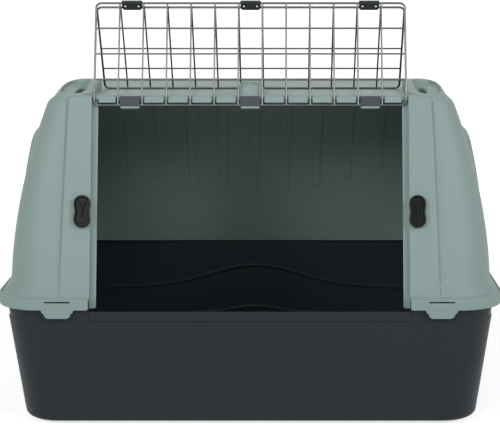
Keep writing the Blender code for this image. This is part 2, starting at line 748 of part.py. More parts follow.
for side in (-1, 1):
    word = "left" if side < 0 else "right"
    helper(first_adds, hood(f"vent_hood_{word}", side, SHELL_WALL * 0.6, VENT_HOOD_PROUD, 0.0))
    cavity = hood(f"vent_cavity_{word}", side, 2 * SHELL_WALL, VENT_HOOD_PROUD - SHELL_WALL, 2 * SHELL_WALL)
    helper(hollows, cavity)
    for i in range(VENT_COUNT):
        y = (i - (VENT_COUNT - 1) / 2) * VENT_PITCH
        low = VENT_TOP - VENT_LENGTH
        slot = rounded(y - VENT_WIDTH / 2, y + VENT_WIDTH / 2, low, VENT_TOP, VENT_WIDTH, 0, 3)
        inside = side_x(VENT_TOP) - VENT_LENGTH
        outside = side_x(low) + VENT_LENGTH
        slot_rings = [[(side * x, sy, sz) for sy, sz, _ in slot] for x in (inside, outside)]
        helper(last_cuts, loft(f"vent_slot_{word}_{i}", slot_rings))

# Tapered flutes on the inner back wall, hanging from the roof, with their feet on an arch.
BACK = Matrix.Translation((0, back_y(ROD_HEIGHT), ROD_HEIGHT)) @ Matrix.Rotation(BACK_LEAN, 4, "X")
for i in range(RIB_COUNT):
    x = (i - (RIB_COUNT - 1) / 2) * RIB_PITCH
    share = 2 * i / (RIB_COUNT - 1) - 1
    foot = RIB_FOOT + RIB_ARCH * share**2
    inner = -SHELL_WALL / math.cos(BACK_LEAN)
    low = (foot - ROD_HEIGHT) / math.cos(BACK_LEAN)
    high = (RIB_TOP - ROD_HEIGHT) / math.cos(BACK_LEAN)
    rings = []
    for y, inset in ((inner + SHELL_WALL / 2, 0.0), (inner - RIB_PROUD, RIB_SLOPE)):
        top_half = RIB_TOP_WIDTH / 2 - inset
        foot_half = RIB_FOOT_WIDTH / 2 - inset
        ring = [(-foot_half, low + inset), (foot_half, low + inset), (top_half, high), (-top_half, high)]
        rings.append([(x + dx, y, z) for dx, z in ring])
    rib = loft(f"back_rib_{i}", rings)
    helper(bowls, rib, BACK)

# Hollow rib along the middle of the roof that stops the door panel, steep in front, long behind.
spine_wide = SPINE_WIDTH / 2 + SPINE_FLANK
spine_front = front_y(ROOF_HEIGHT) + ROOF_EDGE_RUN_FRONT
spine_back = spine_front + SPINE_LENGTH


def spine_ring(rise, run, inset):
    share = max(0.0, rise / SPINE_RISE)
    half = spine_wide - SPINE_FLANK * share - inset
    near = spine_front + run + inset
    far = spine_back - SPINE_BACK_RUN * share - inset
    drop = inset * share
    return rounded(-half, half, near, far, SPINE_CORNER, ROOF_HEIGHT + rise - drop, SPINE_CORNER_STEPS)


def roof_spine(name, foot, inset):
    levels = ((foot, 0.0), (0.0, 0.0), (SPINE_FACE_RISE, SPINE_FACE_RUN), (SPINE_RISE, SPINE_RUN))
    return loft(name, [spine_ring(rise, run, inset) for rise, run in levels])


helper(bowls, roof_spine("roof_spine", -ROOF_TRAY_DEPTH - SHELL_WALL / 2, 0.0))
helper(last_cuts, roof_spine("spine_hollow", -ROOF_TRAY_DEPTH - 2 * SHELL_WALL, SHELL_WALL))

# Closure tabs that hang from the lip over the tray, with a slot above each.
tab_top = TAB_TOP_WIDTH / 2
tab_foot = TAB_BOTTOM_WIDTH / 2
tab_edge = [
    (tab_top + TAB_ROUND, SHELL_WALL),
    (tab_top + TAB_ROUND, 0),
    (tab_top + TAB_ROUND / 3, -TAB_ROUND / 4),
    (tab_top, -TAB_ROUND),
    (tab_foot, -TAB_DROP + TAB_ROUND),
    (tab_foot - TAB_ROUND / 3, -TAB_DROP + TAB_ROUND / 4),
    (tab_foot - TAB_ROUND, -TAB_DROP),
]
tab_outline = tab_edge + [(-x, y) for x, y in reversed(tab_edge)]
tab_places = []
for x in (-FRONT_TAB_X, FRONT_TAB_X):
    tab_places.append((x, -HALF_DEPTH, 0.0))
    tab_places.append((x, HALF_DEPTH, math.pi))
for y in (-SIDE_TAB_Y, SIDE_TAB_Y):
    tab_places.append((HALF_LENGTH, y, math.pi / 2))
    tab_places.append((-HALF_LENGTH, y, -math.pi / 2))
for index, (x, y, turn) in enumerate(tab_places):
    place = Matrix.Translation((x, y, LIP_BOTTOM + SHELL_WALL)) @ Matrix.Rotation(turn, 4, "Z")
    upright = place @ Matrix.Rotation(math.pi / 2, 4, "X")
    inset = SHELL_WALL / 4
    helper(first_adds, prism(f"tab_{index}", tab_outline, inset - SHELL_WALL, -inset), upright)
    slot = box(
        f"tab_slot_{index}",
        -TAB_SLOT_WIDTH / 2,
        TAB_SLOT_WIDTH / 2,
        -SHELL_WALL,
        2 * SHELL_WALL,
        TAB_SLOT_RISE,
        TAB_SLOT_RISE + TAB_SLOT_HEIGHT,
    )
    helper(last_cuts, slot, place)

# Raised front panel round the doorway, with sloping edges, hollow behind.
face_foot = (LEDGE_TOP - ROD_HEIGHT) / math.cos(FRONT_LEAN)
face_roof = (ROOF_HEIGHT - ROD_HEIGHT) / math.cos(FRONT_LEAN)


def front_panel(name, levels, foot, head):
    rings = []
    for w, grow in levels:
        low = FRONT_PANEL_FOOT + grow
        high = FRONT_PANEL_TOP + grow
        rings.append([(-low, foot, w), (low, foot, w), (high, head, w), (-high, head, w)])
    return loft(name, rings)


panel_levels = (
    (-FRONT_PANEL_PROUD - SHELL_WALL / 2, FRONT_PANEL_SLOPE),
    (-FRONT_PANEL_PROUD, FRONT_PANEL_SLOPE),
    (0.0, 0.0),
)
panel = front_panel("front_panel", panel_levels, face_foot - SHELL_WALL / 2, face_roof - SHELL_WALL / 2)
helper(first_adds, panel, FACE)
behind = front_panel(
    "front_panel_hollow",
    ((-FRONT_PANEL_PROUD - 2 * SHELL_WALL, -SHELL_WALL), (-SHELL_WALL, -SHELL_WALL)),
    face_foot + SHELL_WALL,
    face_roof - 4 * SHELL_WALL,
)
helper(hollows, behind, FACE)

# Doorway: jambs with a rebate for the door's side wires, and a notched beam over it.
doorway_half = DOORWAY_WIDTH / 2
rebate_edge = doorway_half + REBATE_WIDTH
face_low = (LIP_BOTTOM - ROD_HEIGHT) / math.cos(FRONT_LEAN)
jamb_foot = (SEAM_HEIGHT - JAMB_DROP - ROD_HEIGHT) / math.cos(FRONT_LEAN)
beam_low = (DOORWAY_TOP - ROD_HEIGHT) / math.cos(FRONT_LEAN)
tray_under = (TRAY_HEIGHT - SHELL_WALL / 2 - ROD_HEIGHT) / math.cos(FRONT_LEAN)
jamb_back = -REBATE_DEPTH - SHELL_WALL
past = HALF_DEPTH / 6
for side in (-1, 1):
    word = "left" if side < 0 else "right"
    edges = sorted((side * doorway_half, side * (rebate_edge + SHELL_WALL)))
    jamb = box(f"jamb_{word}", *edges, jamb_foot, tray_under - SHELL_WALL, jamb_back, -SHELL_WALL / 2)
    helper(bowls, jamb, FACE)
    edges = sorted((side * (doorway_half - NOTCH_WIDTH / 4), side * rebate_edge))
    rebate = box(f"rebate_{word}", *edges, face_low - past, face_roof + past, -REBATE_DEPTH, past)
    helper(last_cuts, rebate, FACE)
    lip_edges = sorted((0, side * (rebate_edge + FIT_GAP)))
    lip_gap = box(
        f"lip_gap_{word}",
        *lip_edges,
        -HALF_DEPTH - past,
        front_y(LEDGE_TOP) + REBATE_DEPTH,
        LIP_BOTTOM - past,
        LEDGE_TOP + FIT_GAP,
    )
    helper(hollows, lip_gap)
doorway = box("doorway", -doorway_half, doorway_half, face_low - past, beam_low, -past * 2, past)
helper(hollows, doorway, FACE)
for i in range(1, WIRE_COUNT - 1):
    x = (i - (WIRE_COUNT - 1) / 2) * WIRE_PITCH
    notch = box(
        f"wire_notch_{i}",
        x - NOTCH_WIDTH / 2,
        x + NOTCH_WIDTH / 2,
        beam_low - FRAME_RADIUS,
        face_roof + past,
        -NOTCH_DEPTH,
        past,
    )
    helper(last_cuts, notch, FACE)

# Hinge lugs: hooks under the beam that carry the door's hinge wire.
clip_places = [(cell + 0.5 - (WIRE_COUNT - 1) / 2) * WIRE_PITCH for cell in CLIP_CELLS]
lug_gap = FRAME_RADIUS + HINGE_CLEARANCE
lug_profile = (
    (-ROD_DEPTH - lug_gap, tray_under),
    (-ROD_DEPTH - lug_gap - LUG_WEB, tray_under),
    (-ROD_DEPTH - lug_gap - LUG_WEB, -lug_gap - LUG_THICKNESS),
    (-HINGE_CLEARANCE, -lug_gap - LUG_THICKNESS),
    (-HINGE_CLEARANCE, -lug_gap),
    (-ROD_DEPTH - lug_gap, -lug_gap),
)
clip_seat = HINGE_CLIP_WIDTH / 2 + FIT_GAP
for index, x in enumerate(clip_places):
    lug = [[(lx, s, w) for w, s in lug_profile] for lx in (x - LUG_WIDTH / 2, x + LUG_WIDTH / 2)]
    helper(bowls, loft(f"hinge_lug_{index}", lug), FACE)
    seat = box(
        f"clip_seat_{index}",
        x - clip_seat,
        x + clip_seat,
        beam_low - FRAME_RADIUS,
        face_roof + past,
        -HINGE_CLIP_DEPTH - FIT_GAP,
        past,
    )
    helper(last_cuts, seat, FACE)

# Holes for the latch spindles, each below the middle of its latch.
latch_s = (LATCH_HEIGHT - ROD_HEIGHT) / math.cos(FRONT_LEAN) - LATCH_REACH
for side in (-1, 1):
    hole = cylinder(
        f"spindle_hole_{side}",
        SPINDLE_RADIUS + SPINDLE_CLEARANCE,
        -3 * SHELL_WALL,
        SHELL_WALL,
        16,
        (side * LATCH_X, latch_s),
    )
    helper(last_cuts, hole, FACE)

upper_shell = node("upper_shell", cover("upper_shell"), GREEN)
boolean(upper_shell, first_adds, "UNION")
boolean(upper_shell, hollows, "DIFFERENCE")
boolean(upper_shell, bowls, "UNION")
boolean(upper_shell, last_cuts, "DIFFERENCE")

# Hinge clips: caps that close the beam over the hinge wire.
clip_top = face_roof - FIT_GAP
clip_profile = (
    (HINGE_CLIP_PROUD, -lug_gap + FIT_GAP),
    (HINGE_CLIP_PROUD, clip_top - HINGE_CLIP_PROUD),
    (0, clip_top),
    (-HINGE_CLIP_DEPTH, clip_top),
    (-HINGE_CLIP_DEPTH, lug_gap),
    (-ROD_DEPTH + lug_gap, lug_gap),
    (-ROD_DEPTH + lug_gap, -lug_gap + FIT_GAP),
)
for word, x in zip(("left", "centre", "right"), clip_places):
    half = HINGE_CLIP_WIDTH / 2
    ends = [[(cx, s, w) for w, s in clip_profile] for cx in (-half, half)]
    clip = loft(f"hinge_clip_{word}", ends)
    node(clip.name, clip, BLACK, FACE @ Matrix.Translation((x, 0, 0)))


# Door panels: a bent frame wire with upright and cross wires welded to it.
def frame_loop(name, y0, y1):
    """A round-cornered rectangle of wire in the panel's plane."""
    half = DOOR_WIDTH / 2
    path = rounded(-half, half, y0, y1, FRAME_CORNER, 0, 3)
    rings = []
    sides = 8
    count = len(path)
    for i, here in enumerate(path):
        before = Vector(path[i - 1])
        after = Vector(path[(i + 1) % count])
        first = (Vector(here) - before).normalized()
        second = (after - Vector(here)).normalized()
        along = (first + second).normalized()
        out = Vector((along.y, -along.x, 0))
        stretch = 1 / max(0.7, along.dot(first))
        ring = []
        for k in range(sides):
            turn = 2 * math.pi * (k + 0.5) / sides
            offset = out * (math.cos(turn) * FRAME_RADIUS * stretch)
            ring.append(Vector(here) + offset + Vector((0, 0, math.sin(turn) * FRAME_RADIUS)))
        rings.append(ring)
    faces = []
    for i in range(count):
        j = (i + 1) % count
        for k in range(sides):
            m = (k + 1) % sides
            faces.append((i * sides + k, i * sides + m, j * sides + m, j * sides + k))
    return mesh_from(name, [p for ring in rings for p in ring], faces)


def wire(name, start, end):
    """A straight six-sided wire with flats facing along the panel's normal."""
    along = (Vector(end) - Vector(start)).normalized()
    across = along.cross(Vector((0, 0, 1)))
    rings = []
    for point in (start, end):
        ring = []
        for k in range(6):
            turn = 2 * math.pi * k / 6
            offset = across * (math.cos(turn) * WIRE_RADIUS)
            ring.append(Vector(point) + offset + Vector((0, 0, math.sin(turn) * WIRE_RADIUS)))
        rings.append(ring)
    return loft(name, rings)


def door_panel(name, y0, y1, frame, parent):
    panel = node(name, frame_loop(name, y0, y1), STEEL, frame, parent)
    wires = group(f"{name}_wires")
    uprights = []
    for i in range(1, WIRE_COUNT - 1):
        x = (i - (WIRE_COUNT - 1) / 2) * WIRE_PITCH
        end = FRAME_RADIUS / 3
        uprights.append(wire(f"upright_{i}", (x, y0 - end, WIRE_LAYER), (x, y1 + end, WIRE_LAYER)))
    helper(wires, merged(f"{name}_uprights", uprights), frame)
    rows = []
    for i in range(1, ROW_COUNT - 1):
        y = y0 + (y1 - y0) * i / (ROW_COUNT - 1)
        rows.append(wire(f"row_{i}", (-DOOR_WIDTH / 2, y, 0), (DOOR_WIDTH / 2, y, 0)))
    helper(wires, merged(f"{name}_rows", rows), frame)
    boolean(panel, wires, "UNION")
    return panel


hinge_axis = axis("door_hinge_axis", UPPER)
door_panel("door_upper_panel", 0, UPPER_PANEL_HEIGHT, UPPER, hinge_axis)
fold_axis = axis("door_fold_axis", LOWER, hinge_axis)
door_panel("door_lower_panel", FOLD_GAP, LOWER_REACH, LOWER, fold_axis)

# Fold clips: two riveted halves on the lower panel's top wire, turning on the upper panel's.
bore = FRAME_RADIUS + HINGE_CLEARANCE
clip_half = bore + FOLD_CLIP_WALL
clip_low = -clip_half
clip_high = FOLD_GAP + clip_half
clip_edge = FOLD_CLIP_WIDTH / 2
for word, x in zip(("left", "centre", "right"), clip_places):
    place = LOWER @ Matrix.Translation((x, 0, 0))
    cuts = group(f"fold_clip_{word}_cuts")
    for index, y in enumerate((0, FOLD_GAP)):
        reach = clip_edge + bore
        helper(cuts, rod_along_x(f"clip_bore_{word}_{index}", bore, -reach, reach, y, 0), place)
    for index, rx in enumerate((-RIVET_SPACING / 2, RIVET_SPACING / 2)):
        hole = cylinder(
            f"rivet_hole_{word}_{index}",
            RIVET_RADIUS + FIT_GAP,
            -2 * clip_half,
            2 * clip_half,
            10,
            (rx, FOLD_GAP / 2),
        )
        helper(cuts, hole, place)
    for half_word, face in (("front", -1), ("rear", 1)):
        outer = []
        for out, shrink in ((FIT_GAP / 2, 0.0), (clip_half * 0.7, 0.0), (clip_half, clip_half * 0.3)):
            low = clip_low + shrink
            high = clip_high - shrink
            edge = clip_edge - shrink
            cut = FOLD_CLIP_CHAMFER
            outline = (
                (-edge, low),
                (edge, low),
                (edge, high - cut),
                (edge - cut, high),
                (-edge + cut, high),
                (-edge, high - cut),
            )
            outer.append([(px, py, face * out) for px, py in outline])
        name = f"fold_clip_{half_word}_{word}"
        half = node(name, loft(name, outer), BLACK, place, fold_axis)
        boolean(half, cuts, "DIFFERENCE")
    head = clip_half + FIT_GAP
    profile = (
        (RIVET_HEAD_RADIUS * 0.6, head + RIVET_HEAD_HEIGHT),
        (RIVET_HEAD_RADIUS, head + RIVET_HEAD_HEIGHT * 0.4),
        (RIVET_HEAD_RADIUS, head),
        (RIVET_RADIUS, head),
    )
    stack = [*profile, *((radius, -w) for radius, w in reversed(profile))]
    sides = 8
    for index, rx in enumerate((-RIVET_SPACING / 2, RIVET_SPACING / 2)):
        rings = []
        for radius, w in stack:
            turns = [2 * math.pi * k / sides for k in range(sides)]
            rings.append([(radius * math.cos(t), radius * math.sin(t), w) for t in turns])
        name = f"fold_rivet_{word}_{index + 1}"
        spot = place @ Matrix.Translation((rx, FOLD_GAP / 2, 0))
        node(name, loft(name, rings), STEEL, spot, fold_axis)


# Turn latches: a waisted plate with a grip ridge, and a spindle at its lower lobe.
def waisted(width, length, waist, w):
    """Two round ends joined through a narrow waist, as a smooth ring."""
    steps = 24
    ring = []
    end = length / 2 - width / 2
    for i in range(steps):
        turn = 2 * math.pi * i / steps
        y = (length / 2) * math.sin(turn)
        past_end = max(0.0, abs(y) - end)
        lobe = math.sqrt(max(0.0, (width / 2) ** 2 - past_end**2))
        pinch = math.cos(min(1.0, abs(y) / end) * math.pi / 2) ** 2
        x = lobe - (width - waist) / 2 * pinch
        if math.isclose(abs(y), length / 2):
            x = 0.0
        ring.append((math.copysign(x, math.cos(turn)), LATCH_REACH + y, w))
    return ring


def plate(inset, w):
    return waisted(LATCH_WIDTH - inset, LATCH_LENGTH - inset, LATCH_WAIST - inset, w)


def blade(name, start, end, low, high):
    """A straight tapered ridge between two points of the latch's dish."""
    along = (Vector(end) - Vector(start)).normalized()
    across = Vector((-along.y, along.x))
    rings = []
    for w, half in ((low, LATCH_GRIP_WIDTH / 2), (high, LATCH_GRIP_WIDTH / 4)):
        corners = ((start, -half), (end, -half), (end, half), (start, half))
        rings.append([(*(Vector(spot) + across * reach), w) for spot, reach in corners])
    return loft(name, rings)


for side in (-1, 1):
    word = "left" if side < 0 else "right"
    seat = FACE @ Matrix.Translation((side * LATCH_X, latch_s, 0))
    top = LATCH_STANDOFF + LATCH_PLATE
    edge = LATCH_ROUND
    body = [
        plate(edge, LATCH_STANDOFF),
        plate(0.0, LATCH_STANDOFF + edge / 2),
        plate(0.0, top - edge),
        plate(2 * edge, top),
    ]
    dish_floor = top - LATCH_DISH
    dish = [
        plate(2 * LATCH_RIM + edge, dish_floor),
        plate(2 * LATCH_RIM, dish_floor + edge),
        plate(2 * LATCH_RIM - edge, top + edge),
    ]
    dishes = group(f"latch_{word}_dish")
    helper(dishes, loft(f"latch_dish_{word}", dish), seat)
    adds = group(f"latch_{word}_adds")
    low = dish_floor - edge
    high = top + LATCH_GRIP_PROUD
    fork = LATCH_REACH + LATCH_FORK
    tip = fork + LATCH_ARM_RISE
    helper(adds, blade(f"latch_ridge_{word}", (0, 0), (0, fork), low, high), seat)
    for hand in (-1, 1):
        arm = blade(f"latch_arm_{word}_{hand}", (0, fork - edge), (hand * LATCH_ARM_SPREAD, tip), low, high)
        helper(adds, arm, seat)
    helper(adds, cylinder(f"latch_boss_{word}", LATCH_BOSS_RADIUS, low, top - LATCH_BOSS_SINK), seat)
    tail = -SHELL_WALL - LATCH_STANDOFF - WASHER_THICKNESS - SPINDLE_TAIL
    helper(adds, cylinder(f"latch_spindle_{word}", SPINDLE_RADIUS, tail, LATCH_STANDOFF + edge), seat)
    latch = node(f"latch_{word}", loft(f"latch_{word}", body), BLACK, seat)
    boolean(latch, dishes, "DIFFERENCE")
    boolean(latch, adds, "UNION")
    washer_top = -SHELL_WALL - LATCH_STANDOFF
    ring_cut = group(f"washer_{word}_cut")
    bore_cut = cylinder(
        f"washer_bore_{word}",
        SPINDLE_RADIUS + FIT_GAP,
        washer_top - 2 * WASHER_THICKNESS,
        washer_top + WASHER_THICKNESS,
    )
    helper(ring_cut, bore_cut, seat)
    disc = cylinder(f"latch_washer_{word}", WASHER_RADIUS, washer_top - WASHER_THICKNESS, washer_top, 18)
    washer = node(f"latch_washer_{word}", disc, STEEL, seat)
    boolean(washer, ring_cut, "DIFFERENCE")
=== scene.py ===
"""Looks of the pet transport carrier: finer plastic mouldings, wires, latches, light and camera."""

import json
import math

import bmesh
import bpy
from mathutils import Matrix, Vector

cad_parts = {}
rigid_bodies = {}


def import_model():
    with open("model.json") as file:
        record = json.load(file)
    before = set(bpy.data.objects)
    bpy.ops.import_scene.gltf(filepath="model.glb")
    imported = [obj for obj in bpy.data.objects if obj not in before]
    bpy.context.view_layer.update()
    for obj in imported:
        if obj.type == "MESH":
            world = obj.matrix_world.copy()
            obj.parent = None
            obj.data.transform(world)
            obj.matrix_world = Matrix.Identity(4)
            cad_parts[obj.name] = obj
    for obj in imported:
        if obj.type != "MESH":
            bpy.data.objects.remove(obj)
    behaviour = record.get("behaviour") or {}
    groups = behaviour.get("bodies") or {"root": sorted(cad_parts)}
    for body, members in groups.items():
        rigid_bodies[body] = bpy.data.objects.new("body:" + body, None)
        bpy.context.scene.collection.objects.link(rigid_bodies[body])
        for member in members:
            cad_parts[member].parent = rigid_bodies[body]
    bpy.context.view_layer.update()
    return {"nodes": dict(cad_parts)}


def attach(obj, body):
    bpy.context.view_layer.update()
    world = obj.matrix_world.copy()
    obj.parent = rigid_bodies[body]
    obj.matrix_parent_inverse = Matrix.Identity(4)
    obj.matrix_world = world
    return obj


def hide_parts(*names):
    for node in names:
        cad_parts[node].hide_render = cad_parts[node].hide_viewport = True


for old in list(bpy.data.objects):
    bpy.data.objects.remove(old, do_unlink=True)
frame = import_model()

# Camera: a long lens, a little above the roof and right of the middle, looking down at the front.
camera = bpy.data.objects.new("camera", bpy.data.cameras.new("camera"))
bpy.context.scene.collection.objects.link(camera)
camera.location = (0.067, -2.918, 0.941)
camera.rotation_euler = (math.radians(79.2), 0, 0)
camera.data.shift_x = -0.0674
camera.data.sensor_width = 36
camera.data.lens = 99.43
camera.data.clip_end = 100
bpy.context.scene.camera = camera
bpy.context.scene.view_settings.view_transform = "Standard"

# Studio: soft lights in front of the object, weak ones above and behind it, and a pale floor. Floor
# and backdrop read as white, to the camera and in whatever shines or lets light through; near the
# object the floor gives less light of its own, so that its shadow shows.
world = bpy.data.worlds.new("studio")
bpy.context.scene.world = world
world.use_nodes = True
sky_nodes = world.node_tree.nodes
sky_link = world.node_tree.links.new
sky = sky_nodes["Background"]
sky.inputs["Color"].default_value = (1, 1, 1, 1)
seen = sky_nodes.new("ShaderNodeLightPath")
seen_or_mirrored = sky_nodes.new("ShaderNodeMath")
seen_or_mirrored.operation = "ADD"
seen_at_all = sky_nodes.new("ShaderNodeMath")
seen_at_all.operation = "ADD"
level = sky_nodes.new("ShaderNodeMapRange")
level.inputs["To Min"].default_value = 0.05
level.inputs["To Max"].default_value = 1.0
sky_link(seen.outputs["Is Camera Ray"], seen_or_mirrored.inputs[0])
sky_link(seen.outputs["Is Glossy Ray"], seen_or_mirrored.inputs[1])
sky_link(seen_or_mirrored.outputs["Value"], seen_at_all.inputs[0])
sky_link(seen.outputs["Is Transmission Ray"], seen_at_all.inputs[1])
sky_link(seen_at_all.outputs["Value"], level.inputs["Value"])
sky_link(level.outputs["Result"], sky.inputs["Strength"])

reach = 40
sink = 0.0004
floor_mesh = bpy.data.meshes.new("floor")
floor_mesh.from_pydata(
    [(-reach, -reach, 0), (reach, -reach, 0), (reach, reach, 0), (-reach, reach, 0)],
    [],
    [(0, 1, 2, 3)],
)
floor = bpy.data.objects.new("floor", floor_mesh)
bpy.context.scene.collection.objects.link(floor)
floor.location.z = -sink
floor_paint = bpy.data.materials.new("floor_white")
floor_paint.use_nodes = True
floor_nodes = floor_paint.node_tree.nodes
floor_link = floor_paint.node_tree.links.new
floor_shader = floor_nodes["Principled BSDF"]
floor_shader.inputs["Base Color"].default_value = (0.65, 0.65, 0.65, 1)
floor_shader.inputs["Roughness"].default_value = 0.9
floor_glow = floor_nodes.new("ShaderNodeEmission")
floor_sum = floor_nodes.new("ShaderNodeAddShader")
floor_seen = floor_nodes.new("ShaderNodeLightPath")
floor_mirrored = floor_nodes.new("ShaderNodeMath")
floor_mirrored.operation = "ADD"
floor_seen_at_all = floor_nodes.new("ShaderNodeMath")
floor_seen_at_all.operation = "ADD"
floor_place = floor_nodes.new("ShaderNodeTexCoord")
floor_distance = floor_nodes.new("ShaderNodeVectorMath")
floor_distance.operation = "LENGTH"
floor_level = floor_nodes.new("ShaderNodeMapRange")
floor_level.interpolation_type = "SMOOTHSTEP"
floor_level.inputs["From Min"].default_value = 1.0
floor_level.inputs["From Max"].default_value = 3.0
floor_level.inputs["To Min"].default_value = 0.72
floor_level.inputs["To Max"].default_value = 1.0
floor_strength = floor_nodes.new("ShaderNodeMath")
floor_strength.operation = "MULTIPLY"
floor_link(floor_seen.outputs["Is Camera Ray"], floor_mirrored.inputs[0])
floor_link(floor_seen.outputs["Is Glossy Ray"], floor_mirrored.inputs[1])
floor_link(floor_mirrored.outputs["Value"], floor_seen_at_all.inputs[0])
floor_link(floor_seen.outputs["Is Transmission Ray"], floor_seen_at_all.inputs[1])
floor_link(floor_place.outputs["Object"], floor_distance.inputs[0])
floor_link(floor_distance.outputs["Value"], floor_level.inputs["Value"])
floor_link(floor_seen_at_all.outputs["Value"], floor_strength.inputs[0])
floor_link(floor_level.outputs["Result"], floor_strength.inputs[1])
floor_link(floor_strength.outputs["Value"], floor_glow.inputs["Strength"])
floor_link(floor_shader.outputs["BSDF"], floor_sum.inputs[0])
floor_link(floor_glow.outputs["Emission"], floor_sum.inputs[1])
floor_link(floor_sum.outputs["Shader"], floor_nodes["Material Output"].inputs["Surface"])
floor_mesh.materials.append(floor_paint)

middle = Vector((0, 0, 0.35))
lamps = (
    ("key", (-2.9, -2.6, 2.3), 1.5, 62),
    ("fill", (3.05, -2.5, 2.3), 1.5, 77),
    ("front", (-0.8, -3.5, 2.2), 1.6, 22),
    ("top", (0.0, -0.7, 3.2), 2.2, 11),
    ("back", (0.0, 3.4, 2.2), 2.0, 10),
)
for lamp_name, place, size, power in lamps:
    light = bpy.data.lights.new(lamp_name, "AREA")
    light.shape = "SQUARE"
    light.size = size
    light.energy = power
    lamp = bpy.data.objects.new(lamp_name, light)
    bpy.context.scene.collection.objects.link(lamp)
    lamp.location = place
    aim = middle - Vector(place)
    lamp.rotation_euler = aim.to_track_quat("-Z", "Y").to_euler()


# Upper shell: one thin moulding of sage green plastic with a fine grain, set over the tray's rim.
# Its rolled lip, front panel, roof trays, hand pockets, side vents and inner ribs come out of one
# mould, and the tabs that hang from its lip close over the tray.
def mesh_from(name, points, faces):
    made = bpy.data.meshes.new(name)
    made.from_pydata([tuple(p) for p in points], [], faces)
    body = bmesh.new()
    body.from_mesh(made)
    bmesh.ops.connect_verts_nonplanar(body, angle_limit=math.radians(0.1), faces=body.faces)
    bmesh.ops.recalc_face_normals(body, faces=body.faces)
    body.to_mesh(made)
    body.free()
    return made


def loft(name, rings, first_pair=None):
    """A closed body through rings; an end that isn't flat is filled in strips from first_pair on."""
    count = len(rings[0])
    points = [p for ring in rings for p in ring]
    faces = []
    for start in (0, len(points) - count):
        if first_pair is None:
            faces.append(tuple(start + i for i in range(count)))
            continue
        pairs = [
            (start + (first_pair + k) % count, start + (first_pair - 1 - k) % count)
            for k in range(count // 2)
        ]
        faces.extend((a, b, d, c) for (a, b), (c, d) in zip(pairs, pairs[1:]))
    for row in range(len(rings) - 1):
        for i in range(count):
            j = (i + 1) % count
            low = row * count
            faces.append((low + i, low + j, low + count + j, low + count + i))
    return mesh_from(name, points, faces)


def round_rect(x0, x1, y0, y1, corner, z, steps=14):
    corner = min(corner, (x1 - x0) / 2.001, (y1 - y0) / 2.001)
    ring = []
    for cx, cy, quarter in ((x1, y1, 0), (x0, y1, 1), (x0, y0, 2), (x1, y0, 3)):
        mx = cx - corner if cx == x1 else cx + corner
        my = cy - corner if cy == y1 else cy + corner
        for i in range(steps + 1):
            turn = (quarter + i / steps) * math.pi / 2
            ring.append(Vector((mx + corner * math.cos(turn), my + corner * math.sin(turn), z)))
    return ring


def box_mesh(name, x0, x1, y0, y1, z0, z1):
    return loft(name, [[(x0, y0, z), (x1, y0, z), (x1, y1, z), (x0, y1, z)] for z in (z0, z1)])


def prism(name, outline, z0, z1):
    return loft(name, [[(x, y, z) for x, y in outline] for z in (z0, z1)])


def carve(target, solids, operation):
    """One Boolean of the target with a list of (mesh, frame) solids, applied at once."""
    group = bpy.data.collections.new("solids")
    bpy.context.scene.collection.children.link(group)
    for mesh, place in solids:
        solid = bpy.data.objects.new(mesh.name, mesh)
        group.objects.link(solid)
        solid.matrix_world = place
    step = target.modifiers.new("carve", "BOOLEAN")
    step.operation = operation
    step.solver = "EXACT"
    step.operand_type = "COLLECTION"
    step.collection = group
    settle(target)
    for solid in list(group.objects):
        spent = solid.data
        bpy.data.objects.remove(solid)
        bpy.data.meshes.remove(spent)
    bpy.data.collections.remove(group)


def settle(target):
    """Applies the target's modifiers, so that it is a plain mesh."""
    bpy.context.view_layer.update()
    graph = bpy.context.evaluated_depsgraph_get()
    plain = bpy.data.meshes.new_from_object(target.evaluated_get(graph))
    target.modifiers.clear()
    target.data = plain


def add_piece(name, mesh):
    made = bpy.data.objects.new(name, mesh)
    bpy.context.scene.collection.objects.link(made)
    return made


def soften(target, angle=32):
    """Smooth faces with sharp creases, and normals that keep flat faces flat."""
    target.data.shade_smooth()
    target.data.set_sharp_from_angle(angle=math.radians(angle))
    weigh = target.modifiers.new("weigh", "WEIGHTED_NORMAL")
    weigh.mode = "FACE_AREA_WITH_ANGLE"
    weigh.weight = 80
    weigh.keep_sharp = True
    settle(target)


def tilted(lean, place):
    """A frame whose local Y runs up a face that leans back and whose local Z points out of it."""
    return Matrix.Translation(place) @ Matrix.Rotation(math.pi / 2 - lean, 4, "X")


